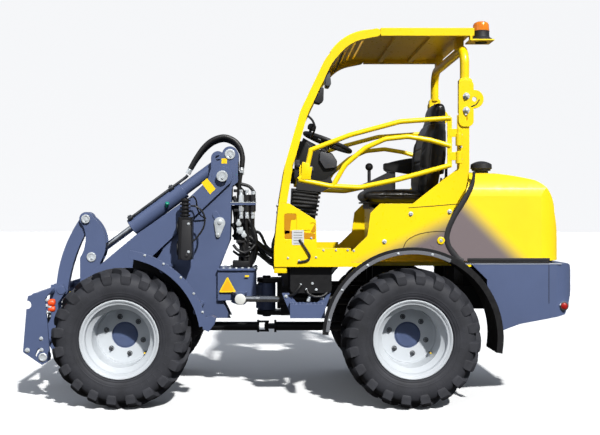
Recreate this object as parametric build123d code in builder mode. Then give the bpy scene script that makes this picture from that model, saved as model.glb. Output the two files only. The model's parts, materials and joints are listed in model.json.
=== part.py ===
"""Compact articulated wheel loader, one STEP file per sub-part, all in one shared frame.

Millimetres. +X is forward, +Y is left, +Z is up. The origin lies on the ground, below the middle
of the machine. The rear chassis is fixed and everything else hangs on it by joints.
"""
from build123d import *
from math import atan2, cos, degrees, hypot, pi, radians, sin
import os

# ---------------------------------------------------------------- driving sizes
TYRE_R = 385.0            # to the tips of the lugs
TYRE_W = 264.0
TRACK = 1016.0            # between the wheels' middle planes
PIVOT_X = 192.0           # articulation, half way between the axles
HALF_BASE = 800.0         # from the articulation to either axle
BODY_W = 940.0            # outside of the cab and the hood
RUN = 0.3                 # running clearance at pins, rods and shafts
GAP = 5.0                 # clearance between moving pieces

AXLE_Z = TYRE_R
WHEEL_Y = TRACK / 2
BODY_Y = BODY_W / 2
AXLES = {"front": PIVOT_X + HALF_BASE, "rear": PIVOT_X - HALF_BASE}

# ---------------------------------------------------------------- wheels
LUGS = 20                 # on each side of the tread
LUG_H = 27.0
CARCASS_R = TYRE_R - LUG_H
BEAD_R = 197.0
RIM_HALF = 114.0
RIM_FLANGE_R = 211.0
WELL_R = 168.0
RIM_WALL = 7.0
DISC_Y = -78.0            # middle of the wheel disc, from the wheel's middle plane
DISC_T = 10.0
HUB_HOLE_R = 74.0
BOLTS = 6
BOLT_PCD = 206.0
BOLT_R = 10.0
SPINDLE_R = 52.0
DRUM_R = 92.0

# ---------------------------------------------------------------- door guards
DOOR_Y = BODY_Y + 26
DOOR_R = 14.0
DOOR_HINGE = (-885.0, DOOR_Y)
DOOR_KNUCKLES = (1370.0, 1500.0)
KNUCKLE = 46.0

# ---------------------------------------------------------------- articulation and drive line
PIN_R = 25.0
HUB_R = 55.0              # of the front frame, round the articulation pin
FORK_R = 60.0
HUB_LOW = 480.0
HUB_HIGH = 645.0
FORK_T = 25.0
SHAFT_Z = 376.0
SHAFT_R = 27.0
YOKE_X = 46.0             # from the joint's cross to the yoke's flange
CROSS_R = 11.0
STEER_Z = 567.0
STEER_EYE = (346.0, 222.0)     # rod's eye, on the front frame
STEER_BASE = (-330.0, 270.0)   # barrel's eye, on the rear frame

# ---------------------------------------------------------------- loader linkage, as (X, Z)
A = (459.5, 1296.0)       # boom on the tower
T = (414.5, 1431.0)       # tilt cylinder on the tower
B = (477.0, 1014.0)       # lift cylinder on the tower
P = (973.0, 683.0)        # lift cylinder on the boom
C = (1275.0, 632.0)       # lever on the boom
M = (1263.6, 805.0)       # tilt cylinder on the lever
K = (1297.0, 1037.5)      # link on the lever
H = (1450.0, 602.0)       # link on the hitch
N = (1431.0, 235.0)       # hitch on the boom
TOWER_HOLE = (488.0, 1408.0)

LINK_HALF = 24.0          # half thickness of the link
LEVER_IN = 30.0           # lever plates, inside and outside face
LEVER_OUT = 48.0
TOWER_IN = 70.0
TOWER_OUT = 85.0
BOOM_IN = TOWER_OUT + GAP
BOOM_OUT = BOOM_IN + 18.0
LINK_PIN_R = 26.0
MAIN_PIN_R = 30.0


def along(y):
    """Upright plane that faces the side, at the given Y, with X to the right and Z up."""
    return Plane.XZ.offset(-y)


def face_of(points):
    """Closed face through the points, inside the sketch that is open."""
    with BuildLine() as outline:
        Polyline(*points, close=True)
    make_face(outline.edges())


def disc_at(place, radius, mode=Mode.ADD):
    """Circle on a point of the side view."""
    with Locations(place):
        Circle(radius, mode=mode)


def bar(start, end, width, mode=Mode.ADD):
    """Bar with round ends between two points of the side view."""
    length = hypot(end[0] - start[0], end[1] - start[1])
    middle = ((start[0] + end[0]) / 2, (start[1] + end[1]) / 2)
    turn = degrees(atan2(end[1] - start[1], end[0] - start[0]))
    with Locations(Location((middle[0], middle[1], 0), (0, 0, turn))):
        SlotCenterToCenter(length, width, mode=mode)


def line_plane(start, end):
    """Plane at the start of a side-view line, its normal pointing at the end."""
    direction = Vector(end[0] - start[0], 0, end[1] - start[1])
    return Plane(origin=(start[0], 0, start[1]), x_dir=(0, 1, 0), z_dir=direction)


def dome(middle, base, radius, rise):
    """Arc of a shallow dome from its rim to its top, for a profile turned round the middle."""
    big = (radius**2 + rise**2) / (2 * rise)
    ThreePointArc((middle + radius, base),
                  (middle + radius / 2, base + rise - big + (big**2 - radius**2 / 4) ** 0.5),
                  (middle, base + rise))


def save(builder, name):
    """Label a finished sub-part and write its STEP file."""
    builder.part.label = name
    export_step(builder.part, f"parts/{name}.step")


def mid_box(low, high, mode=Mode.ADD):
    """Box between two corners."""
    size = [high[i] - low[i] for i in range(3)]
    middle = tuple((high[i] + low[i]) / 2 for i in range(3))
    with Locations(middle):
        Box(*size, mode=mode)


def both_boxes(low, high, mode=Mode.ADD):
    """Box between two corners, and its twin on the other side."""
    mid_box(low, high, mode)
    mid_box((low[0], -high[1], low[2]), (high[0], -low[1], high[2]), mode)


def tube(points, radius, bend):
    """Round tube along a path with bent corners, inside the part that is open."""
    with BuildLine() as route:
        FilletPolyline(*points, radius=bend)
    with BuildSketch(route.line ^ 0) as section:
        Circle(radius)
    sweep(sections=section.sketch, path=route.line)


os.makedirs("parts", exist_ok=True)

# ================================================================ wheels
# flat top of a lug, low enough that its front corners just reach the tyre's outside
LUG_TOP = (TYRE_R**2 - 62**2) ** 0.5
# tyre section as (distance from the middle plane, radius), one half
TYRE_SECTION = ((0, CARCASS_R), (70, CARCASS_R - 4), (112, CARCASS_R - 20), (TYRE_W / 2 - 2, 300),
                (TYRE_W / 2 - 4, 258), (112, 214), (105, BEAD_R))
LUG_ENVELOPE = ((0, LUG_TOP), (95, LUG_TOP - 3), (118, LUG_TOP - 20), (TYRE_W / 2, LUG_TOP - 60),
                (TYRE_W / 2, 250))
# lug seen from above as (along the tread, across the tread)
LUG_PLAN = ((34, -10), (62, -4), (6, 70), (-24, 100), (-30, 135), (-62, 135), (-58, 92), (-34, 62))

with BuildPart() as carcass:
    with BuildSketch(Plane.YZ):
        half = list(TYRE_SECTION)
        face_of(half + [(-y, r) for y, r in reversed(half[1:])])
    revolve(axis=Axis.Y)

with BuildPart() as lug:
    with BuildSketch(Plane.XY.offset(CARCASS_R - 48)):
        face_of(LUG_PLAN)
    extrude(amount=LUG_H + 60)
    with BuildSketch(Plane.YZ.offset(-90)):
        half = list(LUG_ENVELOPE)
        face_of(half + [(-y, r) for y, r in reversed(half[1:])])
    extrude(amount=180, mode=Mode.INTERSECT)

with BuildPart() as tyre_form:
    add(carcass.part)
    step = 360 / LUGS
    left_lugs = [lug.part.rotate(Axis.Y, k * step) for k in range(LUGS)]
    right_lugs = [mirror(lug.part, Plane.XZ).rotate(Axis.Y, (k + 0.5) * step) for k in range(LUGS)]
    add(left_lugs + right_lugs)

# rim, seen in section as (distance from the middle plane, radius), outside face then inside face
RIM_OUT = ((-RIM_HALF - 4, RIM_FLANGE_R), (-RIM_HALF + 2, RIM_FLANGE_R), (-108, BEAD_R - RUN),
           (-84, BEAD_R - 3), (-62, WELL_R), (58, WELL_R), (84, BEAD_R - 3), (108, BEAD_R - RUN),
           (RIM_HALF - 2, RIM_FLANGE_R), (RIM_HALF + 4, RIM_FLANGE_R))

with BuildPart() as rim_form:
    with BuildSketch(Plane.YZ):
        inner = [(y + (3 if y > 0 else -3) * (abs(y) < 100), r - RIM_WALL) for y, r in RIM_OUT]
        face_of(list(RIM_OUT) + list(reversed(inner)))
        face_of(((DISC_Y - DISC_T / 2, HUB_HOLE_R), (DISC_Y + DISC_T / 2, HUB_HOLE_R),
                 (DISC_Y + DISC_T / 2, 128), (-44, WELL_R - RIM_WALL / 2), (-58, WELL_R - RIM_WALL / 2),
                 (DISC_Y - DISC_T / 2, 132)))
        hub_back = DISC_Y - DISC_T / 2
        face_of(((hub_back, HUB_HOLE_R - 14), (hub_back, 118), (hub_back - 14, 118),
                 (hub_back - 20, DRUM_R), (hub_back - 48, DRUM_R - 4), (hub_back - 48, SPINDLE_R + RUN),
                 (hub_back - 10, SPINDLE_R + RUN)))
    revolve(axis=Axis.Y)
    with BuildSketch(along(DISC_Y + DISC_T / 2 + 12)):
        with PolarLocations(BOLT_PCD / 2, BOLTS):
            RegularPolygon(BOLT_R, 6)
    extrude(amount=12)

WHEELS = (("front_left", "front", 1), ("front_right", "front", -1),
          ("rear_left", "rear", 1), ("rear_right", "rear", -1))
FORMS = {1: (tyre_form.part, rim_form.part),
         -1: (mirror(tyre_form.part, Plane.XZ), mirror(rim_form.part, Plane.XZ))}
for name, axle, side in WHEELS:
    place = (AXLES[axle], side * WHEEL_Y, AXLE_Z)
    with BuildPart() as tyre:
        with Locations(place):
            add(FORMS[side][0])
    save(tyre, f"tyre_{name}")
    with BuildPart() as rim:
        with Locations(place):
            add(FORMS[side][1])
    save(rim, f"rim_{name}")

# ================================================================ axles with the split drive shaft
SPINDLE_END = WHEEL_Y + DISC_Y - DISC_T / 2 - 12
# half axle as (distance from the middle, radius)
AXLE_SECTION = ((0, 112), (58, 112), (118, 72), (215, 62), (285, 62), (292, 84), (338, 84), (338, 66),
                (366, 66), (366, SPINDLE_R), (SPINDLE_END, SPINDLE_R), (SPINDLE_END, 0), (0, 0))
PAD_TOP = 505.0

for name, x in AXLES.items():
    toward = 1 if x < PIVOT_X else -1
    joint_x = PIVOT_X - toward * YOKE_X
    with BuildPart() as axle:
        with BuildSketch(Plane.YZ.offset(x)):
            face_of([(y, AXLE_Z + r) for y, r in AXLE_SECTION])
        revolve(axis=Axis((x, 0, AXLE_Z), (0, 1, 0)))
        mirror(about=Plane.XZ)
        both_boxes((x - 62, 128, AXLE_Z), (x + 62, 196, PAD_TOP))
        with BuildSketch(Plane.YZ.offset(x)):
            with Locations((0, SHAFT_Z)):
                Circle(72)
        extrude(amount=toward * 190, taper=8)
        start = x + toward * 150
        with BuildSketch(Plane.YZ.offset(start)):
            with Locations((0, SHAFT_Z)):
                Circle(SHAFT_R)
        extrude(amount=joint_x - start)
        with BuildSketch(Plane.YZ.offset(joint_x)):
            with Locations((0, SHAFT_Z)):
                Circle(38)
        extrude(amount=-toward * 14)
        # the rear yoke grips the cross from the sides and the front yoke from above and below
        for s in (-1, 1):
            inner = min(joint_x, PIVOT_X + toward * 14)
            outer = max(joint_x, PIVOT_X + toward * 14)
            if name == "rear":
                mid_box((inner, s * 28 - 5, SHAFT_Z - 13), (outer, s * 28 + 5, SHAFT_Z + 13))
            else:
                mid_box((inner, -13, SHAFT_Z + s * 28 - 5), (outer, 13, SHAFT_Z + s * 28 + 5))
        if name == "rear":
            with BuildSketch(along(33)):
                disc_at((PIVOT_X, SHAFT_Z), CROSS_R)
            extrude(amount=66)
            with BuildSketch(Plane.XY.offset(SHAFT_Z - 33)):
                with Locations((PIVOT_X, 0)):
                    Circle(CROSS_R)
            extrude(amount=66)
        else:
            with BuildSketch(Plane.XY.offset(SHAFT_Z - 36)):
                with Locations((PIVOT_X, 0)):
                    Circle(CROSS_R + RUN)
            extrude(amount=72, mode=Mode.SUBTRACT)
    save(axle, f"{name}_axle")

# ================================================================ rear frame
FRAME_Y = 150.0
FRAME_T = 18.0
FRAME_TOP = 640.0
NECK_X = 105.0
NECK_Y = 70.0
CAB_FLOOR = 772.0
FORKS = ((HUB_LOW - GAP - FORK_T, HUB_LOW - GAP), (HUB_HIGH + GAP, HUB_HIGH + GAP + FORK_T))

with BuildPart() as rear_frame:
    # side members
    with BuildSketch(along(FRAME_Y + FRAME_T)):
        face_of(((-80, 520), (-300, PAD_TOP), (-1380, PAD_TOP), (-1380, FRAME_TOP), (-80, FRAME_TOP)))
    extrude(amount=FRAME_T)
    mirror(about=Plane.XZ)
    # cross members
    for x0, x1 in ((-100, -80), (-480, -460), (-800, -780), (-1380, -1360)):
        mid_box((x0, -FRAME_Y, 520), (x1, FRAME_Y, FRAME_TOP))
    # neck and fork round the articulation pin
    mid_box((-80, -NECK_Y - 20, FORKS[0][0]), (-20, NECK_Y + 20, FORKS[1][1]))
    mid_box((-20, -NECK_Y, FORKS[0][0]), (NECK_X, NECK_Y, FORKS[1][1]))
    for low, high in FORKS:
        with BuildSketch(Plane.XY.offset(low)):
            with Locations(((NECK_X + PIVOT_X) / 2, 0)):
                Rectangle(PIVOT_X - NECK_X, 2 * FORK_R)
            with Locations((PIVOT_X, 0)):
                Circle(FORK_R)
        extrude(amount=high - low)
    with BuildSketch(Plane.XY.offset(FORKS[0][0] - 12)):
        with Locations((PIVOT_X, 0)):
            Circle(PIN_R)
    extrude(amount=FORKS[1][1] + 12 - (FORKS[0][0] - 12))
    # lug for the steering cylinder
    gx, gy = STEER_BASE
    for low in (STEER_Z - 40, STEER_Z + 26):
        with BuildSketch(Plane.XY.offset(low)):
            with Locations((gx, (gy + FRAME_Y + FRAME_T) / 2)):
                Rectangle(64, gy - FRAME_Y - FRAME_T)
            with Locations((gx, gy)):
                Circle(32)
        extrude(amount=14)
    with BuildSketch(Plane.XY.offset(STEER_Z - 44)):
        with Locations((gx, gy)):
            Circle(14)
    extrude(amount=88)
    # posts under the cab and the hood
    for x in (20, -470, -900):
        wide = NECK_Y - 22 if x > -60 else FRAME_Y - 20
        both_boxes((x - 28, wide, FRAME_TOP if x < -60 else FORKS[1][1]), (x + 28, wide + 40, CAB_FLOOR))
save(rear_frame, "rear_frame")

# tanks beside the neck
TANK_H = 152.0
TANK_LOW = CAB_FLOOR - RUN - TANK_H
with BuildPart() as tanks:
    with BuildSketch(Plane.XZ):
        with Locations((-62, TANK_LOW + TANK_H / 2)):
            RectangleRounded(236, TANK_H, 24)
    extrude(amount=420, both=True)
    mid_box((-300, -176, 500), (200, 176, 800), mode=Mode.SUBTRACT)
save(tanks, "tanks")

# ================================================================ engine, one plain block
with BuildPart() as engine:
    mid_box((-1350, -FRAME_Y + 1, 500), (-985, FRAME_Y - 1, 1050))
    both_boxes((-1210, FRAME_Y - 1, FRAME_TOP + RUN), (-1110, FRAME_Y + FRAME_T, 700))
save(engine, "engine")

# ================================================================ lower body and counterweight
SEAM_X = -1397.0
HINGE = (-1470.0, 818.0)  # of the hood
HOOD_LOW = 806.0
HOOD_EDGE_R = 650.0
SEAL = 18.0
HOOD_T = 8.0
HOOD_TOP = 1318.0
HOOD_FRONT_X = -978.0
BELT_Z = 790.0
TOW_R = 13.0
TOW_SEAT = 504.0          # flat round the mouth of the towing pin's bore

with BuildPart() as counterweight:
    with BuildSketch(along(BODY_Y)):
        with BuildLine():
            Polyline((SEAM_X, 482), (-1498, 502), (-1532, 569), (-1549, 620), (-1565, 640))
            Polyline((-1565, 640), (-1565, 720), (-1540, 780), (-1520, BELT_Z), (SEAM_X, BELT_Z))
            Line((SEAM_X, BELT_Z), (SEAM_X, 482))
        make_face()
    extrude(amount=BODY_W)
    # the corners seen from above are round
    with BuildSketch(Plane.XY.offset(400)):
        with BuildLine():
            Polyline((SEAM_X, BODY_Y), (-1440, BODY_Y))
            ThreePointArc((-1440, BODY_Y), (-1528, BODY_Y - 60), (-1565, BODY_Y - 190))
            Line((-1565, BODY_Y - 190), (-1565, -BODY_Y + 190))
            ThreePointArc((-1565, -BODY_Y + 190), (-1528, -BODY_Y + 60), (-1440, -BODY_Y))
            Polyline((-1440, -BODY_Y), (SEAM_X, -BODY_Y), (SEAM_X, BODY_Y))
        make_face()
    extrude(amount=600, mode=Mode.INTERSECT)
    # pocket and bore for the towing pin
    mid_box((-1600, -55, 560), (-1440, 55, 640), mode=Mode.SUBTRACT)
    with BuildSketch(Plane.XY.offset(470)):
        with Locations((-1484, 0)):
            Circle(TOW_R)
    extrude(amount=200, mode=Mode.SUBTRACT)
    with BuildSketch(Plane.XY.offset(470)):
        with Locations((-1484, 0)):
            Circle(24)
    extrude(amount=TOW_SEAT - 470, mode=Mode.SUBTRACT)
    # pockets of the tail lamps
    both_boxes((-1600, 300, 545), (-1505, 380, 590), mode=Mode.SUBTRACT)
    # posts and pins of the hood's hinge
    for s in (-1, 1):
        with BuildSketch(along(s * 268 + 7)):
            disc_at(HINGE, 9)
            face_of(((HINGE[0] - 9, BELT_Z), (HINGE[0] + 9, BELT_Z), (HINGE[0] + 9, HINGE[1]),
                     (HINGE[0] - 9, HINGE[1])))
        extrude(amount=14)
        with BuildSketch(along(s * 230 + 31)):
            disc_at(HINGE, 4)
        extrude(amount=62)
save(counterweight, "counterweight")

FENDER_C = (AXLES["rear"] - 4, AXLE_Z + 7)
FENDER_R = 462.0
with BuildPart() as body_panels:
    with BuildSketch(along(BODY_Y)):
        face_of(((SEAM_X, 482), (-1234, 451), (-1099, 401), (-1050, 420), (-1050, 700), (-960, BELT_Z),
                 (SEAM_X, BELT_Z)))
        disc_at(FENDER_C, FENDER_R + 9, mode=Mode.SUBTRACT)
    extrude(amount=24)
    mirror(about=Plane.XZ)
    mid_box((SEAM_X, -BODY_Y + 24, 640.3), (SEAM_X + 30, BODY_Y - 24, BELT_Z - 20))
save(body_panels, "body_panels")

# ================================================================ rear fenders
def arc_band(centre, inner, outer, first, last):
    """Band of a ring in the side view between two angles, in the sketch that is open."""
    def at(radius, angle):
        return (centre[0] + radius * cos(radians(angle)), centre[1] + radius * sin(radians(angle)))
    middle = (first + last) / 2
    with BuildLine() as outline:
        ThreePointArc(at(inner, first), at(inner, middle), at(inner, last))
        Line(at(inner, last), at(outer, last))
        ThreePointArc(at(outer, last), at(outer, middle), at(outer, first))
        Line(at(outer, first), at(inner, first))
    make_face(outline.edges())


FENDER_OUT = 600.0
with BuildPart() as rear_fenders:
    with BuildSketch(along(FENDER_OUT)):
        arc_band(FENDER_C, FENDER_R, FENDER_R + 8, 2, 190)
    extrude(amount=FENDER_OUT - 378)
    with BuildSketch(along(FENDER_OUT)):
        arc_band(FENDER_C, FENDER_R, FENDER_R + 34, 2, 190)
    extrude(amount=8)
    mirror(about=Plane.XZ)
save(rear_fenders, "rear_fenders")

# ================================================================ hood outlines
INTAKE = (-1070.0, 250.0)


def on_hinge(radius, angle):
    return (HINGE[0] + radius * cos(radians(angle)), HINGE[1] + radius * sin(radians(angle)))


def hood_side(inset):
    """Side outline of the hood, drawn in by the inset except at its open front and bottom."""
    top = HOOD_TOP - inset
    with BuildLine() as outline:
        Line((-914, HOOD_LOW), on_hinge(HOOD_EDGE_R - 8, 8))
        ThreePointArc(on_hinge(HOOD_EDGE_R - 8, 8), on_hinge(HOOD_EDGE_R, 20), on_hinge(HOOD_EDGE_R, 32))
        edge_x, edge_z = on_hinge(HOOD_EDGE_R, 32)
        front_x = HOOD_FRONT_X + inset * (edge_x - HOOD_FRONT_X) / (HOOD_TOP - edge_z)
        Line((edge_x, edge_z), (front_x, top))
        ThreePointArc((front_x, top), (-1170, top - 22), (-1330 + inset / 2, 1262 - inset))
        ThreePointArc((-1330 + inset / 2, 1262 - inset), (-1412 + inset, 1190 - inset / 2),
                      (-1447 + inset, 1080))
        ThreePointArc((-1447 + inset, 1080), (-1476 + inset, 960), (-1488 + inset, HOOD_LOW))
        Line((-1488 + inset, HOOD_LOW), (-914, HOOD_LOW))
    make_face(outline.edges())


def hood_front(inset):
    """Cross outline of the hood: upright sides, round shoulders and a slightly crowned top."""
    half = BODY_Y - inset
    with BuildLine() as outline:
        Polyline((-half, HOOD_LOW), (half, HOOD_LOW), (half, 1150))
        ThreePointArc((half, 1150), (half - 42, 1262 - inset), (half - 150, 1304 - inset))
        ThreePointArc((half - 150, 1304 - inset), (0, 1322 - inset), (150 - half, 1304 - inset))
        ThreePointArc((150 - half, 1304 - inset), (42 - half, 1262 - inset), (-half, 1150))
        Line((-half, 1150), (-half, HOOD_LOW))
    make_face(outline.edges())


def hood_plan(inset):
    """Outline from above: straight sides and round rear corners."""
    half = BODY_Y - inset
    back = -1490 + inset
    with BuildLine() as outline:
        Polyline((back, 190 - half), (back, half - 190))
        ThreePointArc((back, half - 190), (back + 40, half - 62), (back + 135, half))
        Polyline((back + 135, half), (-800, half), (-800, -half), (back + 135, -half))
        ThreePointArc((back + 135, -half), (back + 40, 62 - half), (back, 190 - half))
    make_face(outline.edges())


def hood_block(inset):
    """Solid that the three outlines have in common."""
    with BuildPart() as block:
        with BuildSketch(Plane.XZ):
            hood_side(inset)
        extrude(amount=BODY_Y, both=True)
        with BuildSketch(Plane.YZ.offset(-1500)):
            hood_front(inset)
        extrude(amount=800, mode=Mode.INTERSECT)
        with BuildSketch(Plane.XY.offset(800)):
            hood_plan(inset)
        extrude(amount=600, mode=Mode.INTERSECT)
    return block.part


# ================================================================ cab tub
SILL_TOP = 877.0
COWL_TOP = 1130.0
COWL_FRONT = 122.0
PANEL_T = 10.0
RECESS = 3.0
with BuildPart() as cab_tub:
    mid_box((-960, -BODY_Y, CAB_FLOOR), (148, BODY_Y, CAB_FLOOR + 24))
    both_boxes((-284, BODY_Y - 42, CAB_FLOOR + 24), (148, BODY_Y, SILL_TOP))
    # cowl sides and front wall
    with BuildSketch(along(BODY_Y)):
        face_of(((148, SILL_TOP), (COWL_FRONT, COWL_TOP), (64, COWL_TOP), (-88, 1036), (-93, SILL_TOP)))
    extrude(amount=PANEL_T)
    mirror(about=Plane.XZ)
    with BuildSketch(along(BODY_Y - PANEL_T)):
        face_of(((148, CAB_FLOOR + 24), (126, 1064), (116, 1064), (138, CAB_FLOOR + 24)))
    extrude(amount=BODY_W - 2 * PANEL_T)
    # seat box and bulkhead
    mid_box((-900, -260, CAB_FLOOR + 24), (-440, 260, 1100))
    with BuildSketch(Plane.YZ.offset(-958)):
        hood_front(16)
    extrude(amount=10)
    mid_box((-958, -BODY_Y + 16, CAB_FLOOR + 24), (-948, BODY_Y - 16, HOOD_LOW))
    # pedals
    for y in (130, -190):
        with BuildSketch(along(y + 60)):
            face_of(((-52, CAB_FLOOR + 20), (24, 886), (34, 878), (-34, CAB_FLOOR + 20)))
        extrude(amount=60)
    # pressed recesses in the cowl's sides
    for side in (BODY_Y, -BODY_Y + RECESS):
        with BuildSketch(along(side)):
            for place, wide, high in (((56, 1013), 70, 118), ((2, 952), 178, 54), ((-70, 985), 34, 70)):
                with Locations(place):
                    RectangleRounded(wide, high, 12)
        extrude(amount=RECESS, mode=Mode.SUBTRACT)
    # the wheels' room is cut out of the floor's corners
    for s in (-1, 1):
        with BuildSketch(along(BODY_Y if s > 0 else -366)):
            disc_at(FENDER_C, FENDER_R + 9)
        extrude(amount=BODY_Y - 366, mode=Mode.SUBTRACT)
save(cab_tub, "cab_tub")

# ================================================================ hood
GRILLE = 7
with BuildPart() as hood:
    add(hood_block(0))
    add(hood_block(HOOD_T), mode=Mode.SUBTRACT)
    # hinge knuckles, and room in the back wall for the counterweight's posts
    with BuildSketch(along(260)):
        disc_at(HINGE, 9)
        face_of(((-1485, 809), (-1470, 809), (-1470, 827), (-1485, 827)))
    extrude(amount=60)
    mirror(about=Plane.XZ)
    both_boxes((-1500, 255.5 + 5, HOOD_LOW - 10), (-1450, 281, HINGE[1] + 20), mode=Mode.SUBTRACT)
    with BuildSketch(along(300)):
        disc_at(HINGE, 4 + RUN)
    extrude(amount=600, mode=Mode.SUBTRACT)
    # cooling slots in the back wall
    for k in range(GRILLE):
        z = 900 + 30 * k
        mid_box((-1500, -210, z), (-1400, 210, z + 13), mode=Mode.SUBTRACT)
    # hole for the air intake's neck
    with BuildSketch(Plane.XY.offset(1250)):
        with Locations(INTAKE):
            Circle(40)
    extrude(amount=100, mode=Mode.SUBTRACT)
save(hood, "hood")

with BuildPart() as precleaner:
    with BuildSketch(Plane.XY.offset(1270)):
        with Locations(INTAKE):
            Circle(40 - RUN)
    extrude(amount=54)
    with BuildSketch(Plane.XZ.offset(-INTAKE[1])):
        with BuildLine():
            Polyline((INTAKE[0], 1322), (INTAKE[0] + 54, 1322), (INTAKE[0] + 54, 1330), (INTAKE[0] + 62, 1334),
                     (INTAKE[0] + 60, 1360))
            dome(INTAKE[0], 1360, 60, 19)
            Line((INTAKE[0], 1379), (INTAKE[0], 1322))
        make_face()
    revolve(axis=Axis((*INTAKE, 0), (0, 0, 1)))
save(precleaner, "precleaner")

# ================================================================ side panels with the lower posts
with BuildPart() as side_panels:
    with BuildSketch(along(BODY_Y)):
        with BuildLine():
            Polyline((-284, CAB_FLOOR + 24.3), (-284, 856), (-377, 946), (-394, 1075), (-447, 1128))
            Polyline((-447, 1128), (-633, 1128), (-728, 1204), (-882, 1322))
            Polyline((-882, 1322), (-882, 1626), (-950, 1626), (-950, 1322),
                     on_hinge(HOOD_EDGE_R + SEAL, 36))
            ThreePointArc(on_hinge(HOOD_EDGE_R + SEAL, 36), on_hinge(HOOD_EDGE_R + SEAL, 22),
                          on_hinge(HOOD_EDGE_R + SEAL, 8))
            Polyline(on_hinge(HOOD_EDGE_R + SEAL, 8), (-884, 803), (-884, CAB_FLOOR + 24.3),
                     (-284, CAB_FLOOR + 24.3))
        make_face()
        disc_at(FENDER_C, FENDER_R + 9, mode=Mode.SUBTRACT)
    extrude(amount=PANEL_T)
    mirror(about=Plane.XZ)
    # inward flange that stiffens each post
    both_boxes((-950, BODY_Y - 50, 1300), (-940, BODY_Y - PANEL_T, 1626))
    # hinge lugs and pins of the door guards
    for s in (-1, 1):
        for z in DOOR_KNUCKLES:
            with BuildSketch(Plane.XY.offset(z - 12)):
                with Locations((DOOR_HINGE[0], s * (DOOR_Y + BODY_Y - 1) / 2)):
                    Rectangle(26, DOOR_Y - BODY_Y + 1)
                with Locations((DOOR_HINGE[0], s * DOOR_Y)):
                    Circle(13)
            extrude(amount=12 - RUN)
            with BuildSketch(Plane.XY.offset(z - 12)):
                with Locations((DOOR_HINGE[0], s * DOOR_Y)):
                    Circle(6)
            extrude(amount=12 + KNUCKLE + 6)
save(side_panels, "side_panels")

# ================================================================ front arch, roof and rear posts
POST_W = 45.0
POST_T = 40.0
# centre line of a front post as (X, Z), from the cowl to the roof
ROOF_TOP = 2116.0
ARCH = ((104, 1100), (63, 1346), (-21, 1642), (-160, ROOF_TOP - 182), (-271, ROOF_TOP - 58),
        (-430, ROOF_TOP - 25))
ROOF_EDGE = 44.0             # height of the roof's side beams
with BuildPart() as front_arch:
    with BuildSketch(along(BODY_Y)):
        with BuildLine():
            FilletPolyline(*ARCH, radius=240)
            offset(amount=POST_W / 2, side=Side.BOTH)
        make_face()
    extrude(amount=POST_T)
    mid_box((0, -BODY_Y, 1000), (200, BODY_Y, COWL_TOP + RUN), mode=Mode.SUBTRACT)
    mirror(about=Plane.XZ)
save(front_arch, "front_arch")

LOUVRES = 5
LOUVRE_W = 13.0
ROOF_REAR = -978.0
BEACON = (-1031.0, 405.0)
BEACON_LOW = ROOF_TOP - 62
with BuildPart() as roof:
    with BuildSketch(along(BODY_Y - POST_T - 4)):
        with BuildLine():
            Line((ROOF_REAR, ROOF_TOP), (-420, ROOF_TOP))
            brow = ThreePointArc((-420, ROOF_TOP), (-250, ROOF_TOP - 46), (-170, ROOF_TOP - 126))
            Line((-170, ROOF_TOP - 126), (-190, ROOF_TOP - 138))
            ThreePointArc((-190, ROOF_TOP - 138), (-270, ROOF_TOP - 68), (-420, ROOF_TOP - 22))
            Polyline((-420, ROOF_TOP - 22), (ROOF_REAR, ROOF_TOP - 22), (ROOF_REAR, ROOF_TOP))
        make_face()
    extrude(amount=BODY_W - 2 * POST_T - 8)
    both_boxes((ROOF_REAR, BODY_Y - 44, ROOF_TOP - ROOF_EDGE), (-452.6, BODY_Y, ROOF_TOP))
    # louvre slots across the sloping front
    with BuildSketch(Plane.XZ):
        for k in range(LOUVRES):
            share = (k + 1) / (LOUVRES + 1)
            spot, way = brow @ share, brow % share
            with Locations(Location((spot.X, spot.Y, 0), (0, 0, degrees(atan2(way.Y, way.X))))):
                Rectangle(LOUVRE_W, 80)
    extrude(amount=BODY_Y - POST_T - 60, both=True, mode=Mode.SUBTRACT)
    # stiffening ribs below the sheet
    for x in (-560, -760):
        mid_box((x - 15, -BODY_Y + 44, ROOF_TOP - 40), (x + 15, BODY_Y - 44, ROOF_TOP - 22))
    # shelf of the beacon behind the left beam
    mid_box((BEACON[0] - 60, BEACON[1] - 60, BEACON_LOW - 8), (ROOF_REAR + 23, BODY_Y, BEACON_LOW))
    mid_box((ROOF_REAR + 10, BODY_Y - 36, BEACON_LOW - 8), (ROOF_REAR + 23, BODY_Y, ROOF_TOP - ROOF_EDGE))
save(roof, "roof")

FOLD_LOBE = (-976.0, 1714.0)
HOOP_R = 26.0
HOOP_Y = BODY_Y - HOOP_R - 2
HOOP_Z = ROOF_TOP - 106
with BuildPart() as rear_posts:
    with BuildSketch(along(BODY_Y)):
        face_of(((-893, 1640), (-893, 1822), (-904, 1834), (-954, 1834), (-966, 1822), (-966, 1640)))
    extrude(amount=POST_T)
    mirror(about=Plane.XZ)
    # cheek plates that carry the fold bolt, lapped on the lower posts
    with BuildSketch(along(BODY_Y + 10)):
        with Locations((-930, 1691)):
            RectangleRounded(84, 262, 32)
        disc_at(FOLD_LOBE, 52)
        disc_at(FOLD_LOBE, 13, mode=Mode.SUBTRACT)
        bar((-930, 1600), (-930, 1640), 14, mode=Mode.SUBTRACT)
    extrude(amount=10)
    mirror(about=Plane.XZ)
    # bent hoop below the roof, and the blocks that the roof rests on
    tube([(-929, HOOP_Y, 1820), (-929, HOOP_Y, HOOP_Z), (-929, -HOOP_Y, HOOP_Z), (-929, -HOOP_Y, 1820)],
         HOOP_R, 90)
    both_boxes((-950, 270, HOOP_Z), (-908, 330, ROOF_TOP - 22 - RUN))
save(rear_posts, "rear_posts")

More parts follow.
